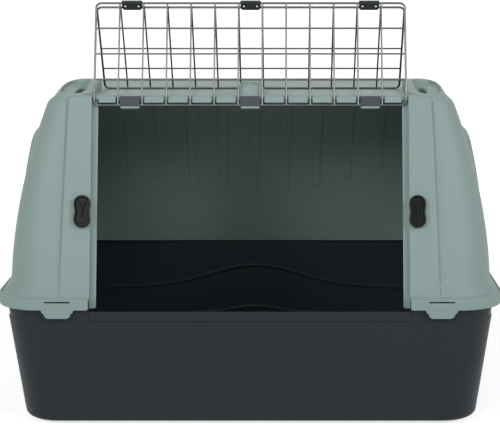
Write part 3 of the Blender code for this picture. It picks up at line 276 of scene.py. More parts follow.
def plastic(name, colour, roughness, grain, edge):
    """Moulded plastic with a fine grain, slightly uneven gloss and rounded edges."""
    made = bpy.data.materials.new(name)
    made.use_nodes = True
    nodes = made.node_tree.nodes
    link = made.node_tree.links.new
    shader = nodes["Principled BSDF"]
    shader.inputs["Base Color"].default_value = (*colour, 1)
    shader.inputs["Specular IOR Level"].default_value = 0.15
    shader.inputs["IOR"].default_value = 1.46
    place = nodes.new("ShaderNodeTexCoord")
    speckle = nodes.new("ShaderNodeTexNoise")
    speckle.inputs["Scale"].default_value = 1400
    speckle.inputs["Detail"].default_value = 2
    cloud = nodes.new("ShaderNodeTexNoise")
    cloud.inputs["Scale"].default_value = 9
    gloss = nodes.new("ShaderNodeMapRange")
    gloss.inputs["To Min"].default_value = roughness - 0.04
    gloss.inputs["To Max"].default_value = roughness + 0.04
    round_edge = nodes.new("ShaderNodeBevel")
    round_edge.samples = 4
    round_edge.inputs["Radius"].default_value = edge
    bump = nodes.new("ShaderNodeBump")
    bump.inputs["Strength"].default_value = grain
    bump.inputs["Distance"].default_value = 0.0002
    link(place.outputs["Object"], speckle.inputs["Vector"])
    link(place.outputs["Object"], cloud.inputs["Vector"])
    link(cloud.outputs["Fac"], gloss.inputs["Value"])
    link(gloss.outputs["Result"], shader.inputs["Roughness"])
    link(speckle.outputs["Fac"], bump.inputs["Height"])
    link(round_edge.outputs["Normal"], bump.inputs["Normal"])
    link(bump.outputs["Normal"], shader.inputs["Normal"])
    return made


green = plastic("sage_green_plastic", (0.300, 0.392, 0.375), 0.48, 0.10, 0.0016)
half_length = 0.506
half_depth = 0.300
rim_corner = 0.090
lip_bottom = 0.244
ledge = 0.266
seam = 0.263
roof = 0.652
crest = 0.670
wall = 0.003
wall_top = 0.632
tray = 0.648
front_lean = math.radians(16.1)
back_lean = math.radians(9.0)
rod_height = 0.635
rod_depth = 0.0045
panel_proud = 0.003
play = 0.0003
shoulder = 0.030
shoulder_run = 0.011
front_foot = -0.275
back_foot = 0.283
side_foot = 0.487
side_taper = 0.0735
side_bulge = 1.9
corner_foot = 0.100
corner_loss = 0.050
roof_round = 0.020
roof_run_x = 0.026
roof_run_y = 0.007


def front_y(z):
    return front_foot + (z - ledge) * math.tan(front_lean)


def back_y(z):
    return back_foot - (z - ledge) * math.tan(back_lean)


def side_x(z):
    rise = max(0.0, (z - ledge) / (wall_top - ledge))
    return side_foot - side_taper * rise**side_bulge


def shell_ring(z, inset=0.0, run_x=0.0, run_y=0.0):
    share = (z - ledge) / (roof - ledge)
    corner = corner_foot - corner_loss * share
    half = side_x(z) - inset - run_x
    near = front_y(z) + inset + run_y
    far = back_y(z) - inset - run_y
    return round_rect(-half, half, near, far, corner - inset, z)


def rim_ring(z, inset=0.0):
    x = half_length - inset
    y = half_depth - inset
    return round_rect(-x, x, -y, y, rim_corner - inset, z)


def shell_cover():
    """Outer skin from the lip's foot over the roof, then the inner skin back down."""
    lip_foot = ((0, 0.0028), (0.0006, 0.0012), (0.0022, 0))
    lip_head = ((0.0034, 0), (0.0012, 0.0008), (0, 0.0030))
    outer = [rim_ring(lip_bottom + rise, inset) for rise, inset in lip_foot]
    outer += [rim_ring(ledge - drop, inset) for drop, inset in lip_head]
    foot = shell_ring(ledge, run_x=-shoulder_run)
    edge = rim_ring(ledge)
    ledge_groove = ((0.28, 0), (0.34, 0.0018), (0.48, 0.0018), (0.54, 0), (0.90, 0), (0.96, -0.0008))
    for share, drop in ledge_groove:
        ring = [a.lerp(b, share) for a, b in zip(edge, foot)]
        outer.append([Vector((p.x, p.y, ledge - drop)) for p in ring])
    start = 0.0026
    levels = [ledge + start + (shoulder - start) * i / 6 for i in range(7)]
    levels += [ledge + shoulder + (wall_top - ledge - shoulder) * i / 22 for i in range(1, 23)]
    for z in levels:
        flare = max(0.0, 1 - (z - ledge) / shoulder) ** 2
        outer.append(shell_ring(z, run_x=-shoulder_run * flare))
    for i in range(1, 8):
        turn = i / 7 * math.pi / 2
        share = 1 - math.cos(turn)
        z = wall_top + roof_round * math.sin(turn)
        outer.append(shell_ring(z, 0, roof_run_x * share, roof_run_y * share))
    tray_step = ((0.0105, 0), (0.0125, 0.0006), (0.0145, 0.0034), (0.0165, 0.0040))
    for inset, drop in tray_step:
        outer.append(shell_ring(roof - drop, 0, roof_run_x + inset, roof_run_y + inset))
    ceiling = tray - wall
    low = wall_top - wall
    inner = []
    for i in range(7, 0, -1):
        turn = i / 7 * math.pi / 2
        share = 1 - math.cos(turn)
        z = low + (ceiling - low) * math.sin(turn)
        inner.append(shell_ring(z, wall, roof_run_x * share, roof_run_y * share))
    for i in range(14, -1, -1):
        inner.append(shell_ring(ledge + shoulder + (low - ledge - shoulder) * i / 14, wall))
    inner.append(shell_ring(seam, wall))
    inner.append(rim_ring(seam, wall))
    inner.append(rim_ring(lip_bottom, wall))
    rings = outer + inner
    count = len(rings[0])
    points = [p for ring in rings for p in ring]
    faces = []
    for row in range(len(rings)):
        here = row * count
        after = (row + 1) % len(rings) * count
        if row == len(outer) - 1:
            faces.append(tuple(here + i for i in range(count)))
            faces.append(tuple(after + i for i in range(count)))
            continue
        for i in range(count):
            j = (i + 1) % count
            faces.append((here + i, here + j, after + j, after + i))
    return mesh_from("upper_shell_look", points, faces)


face_y = front_y(rod_height) - panel_proud / math.cos(front_lean)
face = tilted(front_lean, Vector((0, face_y, rod_height)))
here = Matrix()
adds = []
hollows = []
inner_adds = []
cuts = []

# Handle blocks of the shell, hollow below, that rise from the front edge of the roof. Each has a deep
# pocket with a rolled mouth, which narrows to a slot for the fingers.
handle_corner = 0.028
handle_lean = 0.0024
handle_round = 0.0075
handle_inset = 0.0066
handle_sunk = 0.012
hollow_sunk = 0.032
fall_length = 0.150
front_fall = 0.0153
side_fall = 0.010
handle_y0 = front_y(roof) + 0.008
handle_y1 = handle_y0 + 0.182
handle_x0 = 0.317
handle_x1 = side_x(wall_top) - 0.013
level_x = handle_x0 + 0.038
pocket_x1 = handle_x1 - 0.0135
pocket_x0 = pocket_x1 - 0.050
pocket_y0 = front_y(roof) + 0.0186
pocket_y1 = pocket_y0 + 0.163
slot_narrowing = 0.0245
slot_front = 0.012
slot_back = 0.034
scoop_top = 0.0065
scoop_fall = 0.0125
slot_bend = 0.052
slot_floor = 0.077
floor_round = 0.006
floor_drop = 0.008
mouth = (
    (0.004, 0.0026),
    (0.0003, 0.0026),
    (-0.0006, 0.0011),
    (-0.0020, 0.0003),
    (-0.0042, 0.0),
)


def handle_drop(x, y):
    """How far the block's top lies below its crest: it falls to the front and outwards."""
    share = min(1.0, max(0.0, (y - handle_y0) / fall_length))
    ease = share * share * (3 - 2 * share)
    outward = max(0.0, (x - level_x) / (handle_x1 - level_x))
    return math.hypot(front_fall * (1 - ease), side_fall * outward**2)


def handle_ring(side, z, inset, slope=1.0):
    ring = round_rect(
        handle_x0 + inset * 0.5,
        handle_x1 - inset * 1.5,
        handle_y0 + inset * 0.6,
        handle_y1 - inset,
        handle_corner,
        z,
        10,
    )
    full = []
    for i, point in enumerate(ring):
        after = ring[(i + 1) % len(ring)]
        full.append(point)
        if abs(after.y - point.y) > 0.03:
            full.extend(point.lerp(after, k / 16) for k in range(1, 16))
    return [(side * x, y, z - slope * handle_drop(x, y)) for x, y, z in full]


def bowl_ring(side, z, openness, inset, slope):
    """A level of the pocket: the full mouth at openness 1, the deep finger slot at 0."""
    shut = 1 - openness
    x0 = pocket_x0 + inset
    x1 = pocket_x1 - slot_narrowing * shut - inset
    y0 = pocket_y0 + slot_front * shut + inset
    y1 = pocket_y1 - slot_back * shut - inset
    ring = []
    for i in range(64):
        turn = 2 * math.pi * (i + 0.5) / 64
        across = math.copysign(abs(math.cos(turn)) ** (2 / 3), math.cos(turn))
        along = math.copysign(abs(math.sin(turn)) ** (2 / 3), math.sin(turn))
        x = (x0 + x1) / 2 + (x1 - x0) / 2 * across
        y = (y0 + y1) / 2 + (y1 - y0) / 2 * along
        ring.append((side * x, y, z - slope * handle_drop(x, y)))
    return ring


def bowl(name, side, grow, mouth):
    """A scoop that narrows to a finger slot, under rings (height over the crest, flare)."""
    rings = [bowl_ring(side, crest + rise, 1.0, -grow - flare, 1.0) for rise, flare in mouth]
    for i in range(1, 15):
        fall = i / 14
        openness = (1 - fall) ** 2 * (1 + 2 * fall) * (1 - 0.35 * fall)
        z = crest - scoop_top - scoop_fall * fall
        rings.append(bowl_ring(side, z, openness, -grow, 1 - 0.5 * fall))
    rings.append(bowl_ring(side, crest - slot_bend, 0.0, -grow, 0.2))
    for i in range(5):
        turn = i / 4 * math.pi / 2
        z = crest - slot_floor - (floor_drop + grow) * math.sin(turn)
        rings.append(bowl_ring(side, z, 0.0, floor_round * (1 - math.cos(turn)) - grow, 0.0))
    return loft(name, rings, 16)


for side in (-1, 1):
    skin = [handle_ring(side, roof - handle_sunk, 0.0, 0.0)]
    skin.append(handle_ring(side, crest - handle_round, handle_lean))
    for i in range(1, 7):
        turn = i / 6 * math.pi / 2
        z = crest - handle_round + handle_round * math.sin(turn)
        skin.append(handle_ring(side, z, handle_lean + handle_inset * (1 - math.cos(turn))))
    skin += [handle_ring(side, crest, inset) for inset in (0.013, 0.018, 0.024)]
    adds.append((loft("handle", skin, 11), here))
    under = [
        handle_ring(side, roof - hollow_sunk, wall, 0.0),
        handle_ring(side, crest - handle_round, handle_lean + wall),
        handle_ring(side, crest - wall, handle_lean + handle_inset + wall),
    ]
    hollows.append((loft("handle_hollow", under, 11), here))
    inner_adds.append((bowl("pocket_wall", side, wall, ((-wall / 2, 0),)), here))
    cuts.append((bowl("pocket", side, 0.0, mouth), here))

# Raised side panels of the shell that fade out below, hollow behind, each with six vent slots through
# it. The node tree sets one cut-out out in an even row, here and over the doorway.
row_tree = bpy.data.node_groups.new("even_row", "GeometryNodeTree")
row_sockets = (
    ("Shape", "NodeSocketGeometry"),
    ("Count", "NodeSocketInt"),
    ("Step", "NodeSocketVector"),
    ("Finish", "NodeSocketMaterial"),
)
for socket_name, kind in row_sockets:
    row_tree.interface.new_socket(socket_name, in_out="INPUT", socket_type=kind)
row_tree.interface.new_socket("Row", in_out="OUTPUT", socket_type="NodeSocketGeometry")
row_given = row_tree.nodes.new("NodeGroupInput")
row_made = row_tree.nodes.new("NodeGroupOutput")
row_line = row_tree.nodes.new("GeometryNodeMeshLine")
row_copies = row_tree.nodes.new("GeometryNodeInstanceOnPoints")
row_real = row_tree.nodes.new("GeometryNodeRealizeInstances")
row_paint = row_tree.nodes.new("GeometryNodeSetMaterial")
row_join = row_tree.links.new
row_join(row_given.outputs["Count"], row_line.inputs["Count"])
row_join(row_given.outputs["Step"], row_line.inputs["Offset"])
row_join(row_line.outputs["Mesh"], row_copies.inputs["Points"])
row_join(row_given.outputs["Shape"], row_copies.inputs["Instance"])
row_join(row_copies.outputs["Instances"], row_real.inputs["Geometry"])
row_join(row_real.outputs["Geometry"], row_paint.inputs["Geometry"])
row_join(row_given.outputs["Finish"], row_paint.inputs["Material"])
row_join(row_paint.outputs["Geometry"], row_made.inputs["Row"])


def in_a_row(mesh, **values):
    """Copies of a mesh along a line, the first in its own place, as one plain mesh."""
    holder = add_piece(mesh.name, mesh)
    repeat = holder.modifiers.new("row", "NODES")
    repeat.node_group = row_tree
    for item in row_tree.interface.items_tree:
        if item.in_out == "INPUT" and item.name in values:
            repeat[item.identifier] = values[item.name]
    settle(holder)
    row = holder.data
    bpy.data.objects.remove(holder)
    return row


vent_count = 6
vent_pitch = 0.034
slot_half = 0.0065
slot_height = 0.032
hood_edge = 0.022
hood_corner = 0.020
hood_height = 0.190
hood_depth = 0.032
vent_top = roof - 0.080
first_y = -(vent_count - 1) / 2 * vent_pitch
vent_half = -first_y + slot_half + hood_edge
vent_high = vent_top + 0.011
vent_low = vent_high - hood_height


def hood(name, side, levels, margin):
    rings = []
    for out, shrink in levels:
        pull = hood_edge * shrink + margin
        heights = [vent_low + pull + (vent_high - vent_low - 2 * pull) * k / 24 for k in range(25)]
        edge = []
        for z in heights:
            gap = min(z - heights[0], heights[-1] - z)
            cut = hood_corner - math.sqrt(max(0.0, hood_corner**2 - max(0.0, hood_corner - gap) ** 2))
            edge.append((vent_half - pull - cut, z))
        ring = []
        for y, z in edge + [(-y, z) for y, z in reversed(edge)]:
            fade = min(1.0, 0.15 + (z - vent_low) / hood_height)
            ring.append((side * (side_x(z) + (out * fade if out > 0 else out)), y, z))
        rings.append(ring)
    return loft(name, rings, 0)


hood_slopes = (
    (-0.0018, 0),
    (0.0022, 0.06),
    (0.0055, 0.18),
    (0.0088, 0.36),
    (0.0106, 0.52),
    (0.011, 0.66),
)
cavity_slopes = ((-0.006, 0), (0.0048, 0.2), (0.008, 0.6))
slot_low = vent_top - slot_height
for side in (-1, 1):
    adds.append((hood("vent_hood", side, hood_slopes, 0.0), here))
    hollows.append((hood("vent_cavity", side, cavity_slopes, 0.006), here))
    slot = round_rect(first_y - slot_half, first_y + slot_half, slot_low, vent_top, slot_half, 0, 6)
    ends = (side_x(vent_top) - hood_depth, side_x(slot_low) + hood_depth)
    one_slot = loft("vent_slots", [[(side * x, p.x, p.y) for p in slot] for x in ends])
    slots = in_a_row(one_slot, Count=vent_count, Step=(0, vent_pitch, 0), Finish=green)
    cuts.append((slots, here))

# Tapered flutes on the inner back wall, moulded with the shell. They hang from the roof and have
# round feet, which lie on an arch.
back = Matrix.Translation((0, back_y(rod_height), rod_height)) @ Matrix.Rotation(back_lean, 4, "X")
flute_high = (roof - 0.041 - rod_height) / math.cos(back_lean)
inner_back = -wall / math.cos(back_lean)
flute_slope = ((0.0015, -0.0004), (0.0, 0.0), (-0.0008, 0.0008), (-0.0015, 0.0019), (-0.0020, 0.0034))
flute_pitch = 0.072
flute_head_half = 0.016
flute_foot_half = 0.008
flute_reach = 0.270
flute_arch = 0.050
for i in range(9):
    x = (i - 4) * flute_pitch
    foot = roof - flute_reach + flute_arch * ((i - 4) / 4) ** 2
    low = (foot - rod_height) / math.cos(back_lean)
    rows = []
    for depth, inset in flute_slope:
        y = inner_back + depth
        half = flute_foot_half - inset
        ring = [(x - flute_head_half + inset, y, flute_high)]
        for k in range(13):
            turn = math.pi * (1 + k / 12)
            ring.append((x + half * math.cos(turn), y, low + flute_foot_half + half * math.sin(turn)))
        ring.append((x + flute_head_half - inset, y, flute_high))
        rows.append(ring)
    inner_adds.append((loft("flute", rows), back))

# A hollow rib along the middle of the roof, moulded with it, that stops the door panel. It is steep
# in front and falls slowly behind.
spine_front = front_y(roof) + 0.007
spine_back = spine_front + 0.1446
spine_rise = 0.0245
spine_half = 0.026
spine_narrowing = 0.006
spine_back_slope = 0.118
spine_corner = 0.008


def roof_spine(name, levels, inset):
    rings = []
    for rise, run in levels:
        share = max(0.0, rise / spine_rise)
        half = spine_half - spine_narrowing * share - inset
        near = spine_front + run + inset
        far = spine_back - spine_back_slope * share - inset
        z = roof + rise - inset * share
        rings.append(round_rect(-half, half, near, far, spine_corner, z, 6))
    return loft(name, rings)


spine_levels = ((-0.0055, 0.0), (0.0, 0.0), (0.0160, 0.0073), (0.0172, 0.0080), (0.0184, 0.0091))
spine_levels += ((0.0222, 0.0136), (0.0235, 0.0153), (0.0242, 0.0166), (0.0245, 0.0180))
inner_adds.append((roof_spine("roof_spine", spine_levels, 0.0), here))
spine_under = ((-0.010, 0.0), (0.0, 0.0), (0.0175, 0.008), (0.0240, 0.0160))
cuts.append((roof_spine("spine_hollow", spine_under, wall), here))

# Closure tabs, moulded in one with the lip, that hang from it over the tray, with a slot above each.
# There are two on each of the four sides.
tab_half = 0.030
tab_fillet = 0.008
tab_foot_half = 0.0265
tab_round = 0.0105
tab_drop = 0.0190
tab_x = 0.377
tab_y = 0.130
tab_slot_half = 0.025
tab_slot_low = 0.0124
tab_slot_high = 0.0154
tab_back = -0.0028
tab_edge = [(tab_half + tab_fillet, wall)]
for i in range(6):
    turn = i / 5 * math.pi / 2
    x = tab_half + tab_fillet * (1 - math.sin(turn))
    tab_edge.append((x, -tab_fillet * (1 - math.cos(turn))))
for i in range(6):
    turn = i / 5 * math.pi / 2
    x = tab_foot_half - tab_round * (1 - math.cos(turn))
    tab_edge.append((x, -tab_drop + tab_round * (1 - math.sin(turn))))
tab_outline = tab_edge + [(-x, y) for x, y in reversed(tab_edge)]
tab_places = []
for x in (-tab_x, tab_x):
    tab_places += [(x, -half_depth, 0.0), (x, half_depth, math.pi)]
for y in (-tab_y, tab_y):
    tab_places += [(half_length, y, math.pi / 2), (-half_length, y, -math.pi / 2)]
for x, y, turn in tab_places:
    place = Matrix.Translation((x, y, lip_bottom + wall)) @ Matrix.Rotation(turn, 4, "Z")
    upright = place @ Matrix.Rotation(math.pi / 2, 4, "X")
    adds.append((prism("tab", tab_outline, tab_back, -play), upright))
    slot_ends = (-tab_slot_half, tab_slot_half)
    tab_slot = box_mesh("tab_slot", *slot_ends, -wall, 0.006, tab_slot_low, tab_slot_high)
    cuts.append((tab_slot, place))


# Raised front panel of the shell round the doorway, with sloping edges, a groove along each side and
# round upper corners.
panel_low = 0.3755
panel_high = 0.363


def face_height(z):
    return (z - rod_height) / math.cos(front_lean)


def front_panel(name, levels, foot, head, corner):
    rings = []
    for w, grow in levels:
        low = panel_low + grow
        high = panel_high + grow
        ring = [(-low, foot, w), (low, foot, w)]
        for hand, start in ((1, 0), (-1, 1)):
            for i in range(9):
                turn = (start + i / 8) * math.pi / 2
                x = hand * (high - corner) + corner * math.cos(turn)
                ring.append((x, head - corner + corner * math.sin(turn), w))
        rings.append(ring)
    return loft(name, rings)


panel_levels = (
    (-0.0045, 0.0008),
    (-0.0030, 0.0008),
    (-0.0014, 0.0004),
    (-0.0006, -0.0002),
    (-0.0002, -0.0010),
    (0, -0.0022),
)
panel_foot = face_height(ledge - 0.0015)
panel_head = face_height(roof - 0.0015)
adds.append((front_panel("front_panel", panel_levels, panel_foot, panel_head, 0.012), face))
groove_profile = (
    (0.0003, 0.003),
    (0.0005, -0.0044),
    (0.0036, -0.0046),
    (0.0056, -0.0036),
    (0.0072, -0.0029),
    (0.0084, 0.003),
)
groove_low = face_height(ledge + 0.030)
groove_high = face_height(roof - 0.012)
for side in (-1, 1):
    rings = []
    for s_end, edge in ((groove_low, panel_low), (groove_high, panel_high - 0.0013)):
        rings.append([(side * (edge + out), s_end, w) for out, w in groove_profile])
    cuts.append((loft("panel_groove", rings), face))
behind = ((-0.009, -wall), (-wall, -wall))
hollow_foot = face_height(ledge + wall)
hollows.append((front_panel("panel_hollow", behind, hollow_foot, groove_high, 0.002), face))

# Doorway of the shell: jambs with a rebate for the door's side wires, and a beam over it with a notch
# for each upright wire.
doorway = 0.304
rebate = 0.316
clear = 0.00225
past_face = 0.05
lip_round = 0.006
wire_count = 12
wire_pitch = 0.048
notch_half = 0.0048
notch_depth = 0.0090
rebate_depth = 0.0085
jamb_back = -0.0115
jamb_front = -0.0015
jamb_corner = 0.004
face_low = face_height(lip_bottom)
jamb_foot = face_height(seam - 0.0175)
beam_low = face_height(roof - 0.013)
face_roof = face_height(roof)
tray_under = face_height(tray - wall / 2)
for side in (-1, 1):
    x0, x1 = sorted((side * doorway, side * (rebate + wall)))
    jamb = round_rect(x0, x1, jamb_foot, tray_under - wall, jamb_corner, jamb_back, 5)
    jamb_face = [Vector((p.x, p.y, jamb_front)) for p in jamb]
    inner_adds.append((loft("jamb", [jamb, jamb_face]), face))
    x0, x1 = sorted((side * (doorway - clear), side * rebate))
    rebate_ends = (face_low - past_face, face_roof + past_face)
    door_rebate = box_mesh("rebate", x0, x1, *rebate_ends, -rebate_depth, past_face)
    cuts.append((door_rebate, face))
    lip_end = rebate + play
    gap = [(0, lip_bottom - past_face), (lip_end + lip_round, lip_bottom - past_face)]
    for i in range(7):
        turn = (3 - i / 6) * math.pi / 2
        x = lip_end + lip_round + lip_round * math.cos(turn)
        gap.append((x, lip_bottom + lip_round + lip_round * math.sin(turn)))
    gap += [(lip_end, ledge + play), (0, ledge + play)]
    lip_back = front_y(ledge) + 0.0085
    lip_gap = [[(side * x, y, z) for x, z in gap] for y in (-0.35, lip_back)]
    hollows.append((loft("lip_gap", lip_gap), here))
opening = box_mesh("doorway", -doorway, doorway, face_low - past_face, beam_low, -0.1, past_face)
hollows.append((opening, face))
first_x = -(wire_count - 1) / 2 * wire_pitch
notch_low = beam_low - clear
one_notch = box_mesh(
    "notches",
    first_x - notch_half,
    first_x + notch_half,
    notch_low,
    face_roof + past_face,
    -notch_depth,
    past_face,
)
notches = in_a_row(one_notch, Count=wire_count, Step=(wire_pitch, 0, 0), Finish=green)
cuts.append((notches, face))

# Hinge lugs of the shell under the beam, which the door's bottom wire lies in, seats for the clips
# that close them, and the latch spindles' holes.
rod_gap = 0.00275
lug_lip = 0.0045
clip_count = 3
clip_pitch = 0.240
lug_half = 0.0185
seat_half = 0.01955
seat_depth = 0.0053
spindle_hole = 0.0054
lug_profile = (
    (-rod_depth - rod_gap, tray_under),
    (-rod_depth - rod_gap - wall, tray_under),
    (-rod_depth - rod_gap - wall, -rod_gap - lug_lip),
    (-0.0005, -rod_gap - lug_lip),
    (-0.0005, -rod_gap),
    (-rod_depth - rod_gap, -rod_gap),
)
lug_ends = (-clip_pitch - lug_half, -clip_pitch + lug_half)
one_lug = loft("hinge_lugs", [[(x, s, w) for w, s in lug_profile] for x in lug_ends])
lugs = in_a_row(one_lug, Count=clip_count, Step=(clip_pitch, 0, 0), Finish=green)
inner_adds.append((lugs, face))
one_seat = box_mesh(
    "clip_seats",
    -clip_pitch - seat_half,
    -clip_pitch + seat_half,
    notch_low,
    face_roof + past_face,
    -seat_depth,
    past_face,
)
seats = in_a_row(one_seat, Count=clip_count, Step=(clip_pitch, 0, 0), Finish=green)
cuts.append((seats, face))
latch_x = 0.332
pivot_drop = 0.2058
latch_reach = 0.01575
pivot_s = -pivot_drop / math.cos(front_lean) - latch_reach
for side in (-1, 1):
    hole = []
    for k in range(24):
        turn = k * math.pi / 12
        x = side * latch_x + spindle_hole * math.cos(turn)
        hole.append((x, pivot_s + spindle_hole * math.sin(turn)))
    cuts.append((prism("spindle_hole", hole, -0.009, 0.003), face))

shell = add_piece("upper_shell_look", shell_cover())
carve(shell, adds, "UNION")
carve(shell, hollows, "DIFFERENCE")
carve(shell, inner_adds, "UNION")
carve(shell, cuts, "DIFFERENCE")
soften(shell)
shell.data.materials.clear()
shell.data.materials.append(green)
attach(shell, "carrier")
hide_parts("upper_shell")

# Base tray: a tapered tub moulded in dark grey plastic, which the shell stands on. It has a proud
# sill band across the doorway, catches for the shell's tabs and a shallow panel on each side, and
# bell-shaped ridges on the inner back wall.
tub_top = seam - play
tub_foot = 0.005
tub_floor = 0.005
tub_length = 0.923
tub_length_gain = 0.061
tub_depth = 0.536
tub_depth_gain = 0.052
tub_wall = 0.0035
tub_corner = 0.075
tub_round = 0.010
tub_rim = 0.0012


def tub_half(z):
    share = (z - tub_foot) / (tub_top - tub_foot)
    return (tub_length + tub_length_gain * share) / 2, (tub_depth + tub_depth_gain * share) / 2


def tub_ring(z, inset=0.0):
    x, y = tub_half(z)
    return round_rect(-x + inset, x - inset, -y + inset, y - inset, tub_corner - inset, z)


tub_rings = [tub_ring(tub_foot, tub_round)]
for i in range(1, 8):
    turn = i / 7 * math.pi / 2
    z = tub_foot + tub_round * (1 - math.cos(turn))
    tub_rings.append(tub_ring(z, tub_round * (1 - math.sin(turn))))
for z in (0.030, 0.120, 0.200, tub_top - tub_rim):
    tub_rings.append(tub_ring(z))
tub_rings.append(tub_ring(tub_top, tub_rim))
tub_rings.append(tub_ring(tub_top, tub_wall - tub_rim))
tub_rings.append(tub_ring(tub_top - tub_rim, tub_wall))
for i in range(7):
    turn = i / 7 * math.pi / 2
    z = tub_foot + tub_floor + tub_round - tub_round * math.sin(turn)
    tub_rings.append(tub_ring(z, tub_wall + tub_round * (1 - math.cos(turn))))
tub_rings.append(tub_ring(tub_foot + tub_floor, tub_wall + tub_round))
tub_adds = []
tub_cuts = []
ridge_profile = (
    (0.0017, -0.007),
    (0.0, -0.006),
    (-0.0018, -0.0026),
    (-0.0025, 0),
    (-0.0018, 0.0026),
    (0.0, 0.006),
    (0.0017, 0.007),
)
for low, rise, spread, span in ((0.150, 0.052, 0.150, 0.358), (0.086, 0.017, 0.080, 0.160)):
    rows = []
    for i in range(49):
        x = span * (i / 24 - 1)
        z = low + rise * math.exp(-((x / spread) ** 2))
        inside = tub_half(z)[1] - tub_wall
        rows.append([(x, inside + dy, z + dz) for dy, dz in ridge_profile])
    tub_adds.append((loft("wave_ridge", rows), here))
sill = 0.240
sill_half = rebate - play
sill_y = -tub_half(sill)[1]
sill_profile = (
    (sill_y + 0.0018, sill - 0.019),
    (sill_y + 0.0018, sill - 0.001),
    (sill_y - 0.0010, sill - 0.001),
    (sill_y - 0.0018, sill - 0.0016),
    (sill_y - 0.0020, sill - 0.0024),
    (sill_y - 0.0020, sill - 0.0165),
    (sill_y - 0.0014, sill - 0.0180),
)
sill_rows = [[(x, y, z) for y, z in sill_profile] for x in (-sill_half, sill_half)]
tub_adds.append((loft("sill_band", sill_rows), here))
sill_drop = box_mesh("sill_drop", -sill_half, sill_half, -half_depth, 0, sill, tub_top + 0.01)
tub_cuts.append((sill_drop, here))
catch_half = 0.025
catch_height = 0.034
catch_out = 0.006
catch_top = lip_bottom - play
catch_low = catch_top - catch_height
catch_levels = (
    (catch_low, 0.0),
    (catch_top - 0.031, 0.0048),
    (catch_top - 0.028, catch_out),
    (catch_top, catch_out),
)
recess_half = 0.2
recess_edge = 0.21
recess_out = 0.01
recess_depth = 0.0025
recess_levels = ((0.036, 0.0), (0.040, recess_depth), (0.120, recess_depth), (0.124, 0.0))
for side in (-1, 1):
    rows = []
    for z, deep in recess_levels:
        out = tub_half(z)[0]
        near = ((out - deep, -recess_half), (out + recess_out, -recess_edge))
        far = ((out + recess_out, recess_edge), (out - deep, recess_half))
        rows.append([(side * x, y, z) for x, y in near + far])
    tub_cuts.append((loft("side_panel", rows), here))
    for y in (-tab_y, tab_y):
        inside = tub_half(catch_low)[0] - tub_wall / 2
        rows = []
        for z, out in catch_levels:
            edge = tub_half(z)[0] + out
            row = ((inside, -catch_half), (edge, -catch_half), (edge, catch_half), (inside, catch_half))
            rows.append([(side * x, y + dy, z) for x, dy in row])
        tub_adds.append((loft("catch", rows), here))
foot_x = 0.385
foot_y = 0.22
foot_hole = 0.0043
for x in (-foot_x, foot_x):
    for y in (-foot_y, foot_y):
        hole = []
        for k in range(20):
            turn = k * math.pi / 10
            hole.append((x + foot_hole * math.cos(turn), y + foot_hole * math.sin(turn)))
        tub_cuts.append((prism("foot_hole", hole, 0, 0.015), here))
band_low = 0.2175
band_depth = 0.0026
band_out = 0.006
band_wrap = math.radians(36.5)
band_levels = ((band_low, 0.0), (band_low + 0.0015, band_depth), (catch_top, band_depth))
tub_bands = []
for side in (-1, 1):
    rows = []
    for z, deep in band_levels:
        x, y = tub_half(z)
        row = []
        for radius, order in ((tub_corner - deep, 1), (tub_corner + band_out, -1)):
            arc = []
            for k in range(11):
                turn = band_wrap * (k / 10 - 1)
                across = x - tub_corner + radius * math.cos(turn)
                arc.append((across, tub_corner - y + radius * math.sin(turn)))
            row += (arc + [(px, -py) for px, py in reversed(arc)])[::order]
        rows.append([(side * px, py, z) for px, py in row])
    tub_bands.append((loft("side_band", rows), here))
tub = add_piece("base_tray_look", loft("base_tray_look", tub_rings))
carve(tub, tub_bands, "DIFFERENCE")
carve(tub, tub_adds, "UNION")
carve(tub, tub_cuts, "DIFFERENCE")
soften(tub)
anthracite = plastic("anthracite_plastic", (0.0265, 0.0338, 0.0393), 0.46, 0.14, 0.0016)
tub.data.materials.clear()
tub.data.materials.append(anthracite)
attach(tub, "carrier")
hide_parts("base_tray")


# Door panels: plated steel wire. Its colour is darker than plated steel, as painted shade that stands in
# for the dark reflections the wire shows. Each panel is a bent frame wire with upright and cross wires
# welded
#  to it in even rows; the upper panel's bottom wire hangs in the shell's hooks, and the lower panel
#  hangs from the upper one by the fold clips.
def metal(name, colour, roughness, grain):
    made = bpy.data.materials.new(name)
    made.use_nodes = True
    nodes = made.node_tree.nodes
    link = made.node_tree.links.new
    shader = nodes["Principled BSDF"]
    shader.inputs["Base Color"].default_value = (*colour, 1)
    shader.inputs["Metallic"].default_value = 1
    place = nodes.new("ShaderNodeTexCoord")
    cloud = nodes.new("ShaderNodeTexNoise")
    cloud.inputs["Scale"].default_value = grain
    gloss = nodes.new("ShaderNodeMapRange")
    gloss.inputs["To Min"].default_value = roughness - 0.05
    gloss.inputs["To Max"].default_value = roughness + 0.05
    link(place.outputs["Object"], cloud.inputs["Vector"])
    link(cloud.outputs["Fac"], gloss.inputs["Value"])
    link(gloss.outputs["Result"], shader.inputs["Roughness"])
    return made


wires = bpy.data.node_groups.new("even_wires", "GeometryNodeTree")
sockets = (
    ("Count", "NodeSocketInt"),
    ("First", "NodeSocketVector"),
    ("Step", "NodeSocketVector"),
    ("Run", "NodeSocketVector"),
    ("Radius", "NodeSocketFloat"),
    ("Finish", "NodeSocketMaterial"),
)
for socket_name, kind in sockets:
    wires.interface.new_socket(socket_name, in_out="INPUT", socket_type=kind)
wires.interface.new_socket("Geometry", in_out="OUTPUT", socket_type="NodeSocketGeometry")
given = wires.nodes.new("NodeGroupInput")
made_out = wires.nodes.new("NodeGroupOutput")
row_points = wires.nodes.new("GeometryNodeMeshLine")
one_wire = wires.nodes.new("GeometryNodeCurvePrimitiveLine")
profile = wires.nodes.new("GeometryNodeCurvePrimitiveCircle")
profile.inputs["Resolution"].default_value = 12
sweep = wires.nodes.new("GeometryNodeCurveToMesh")
sweep.inputs["Fill Caps"].default_value = True
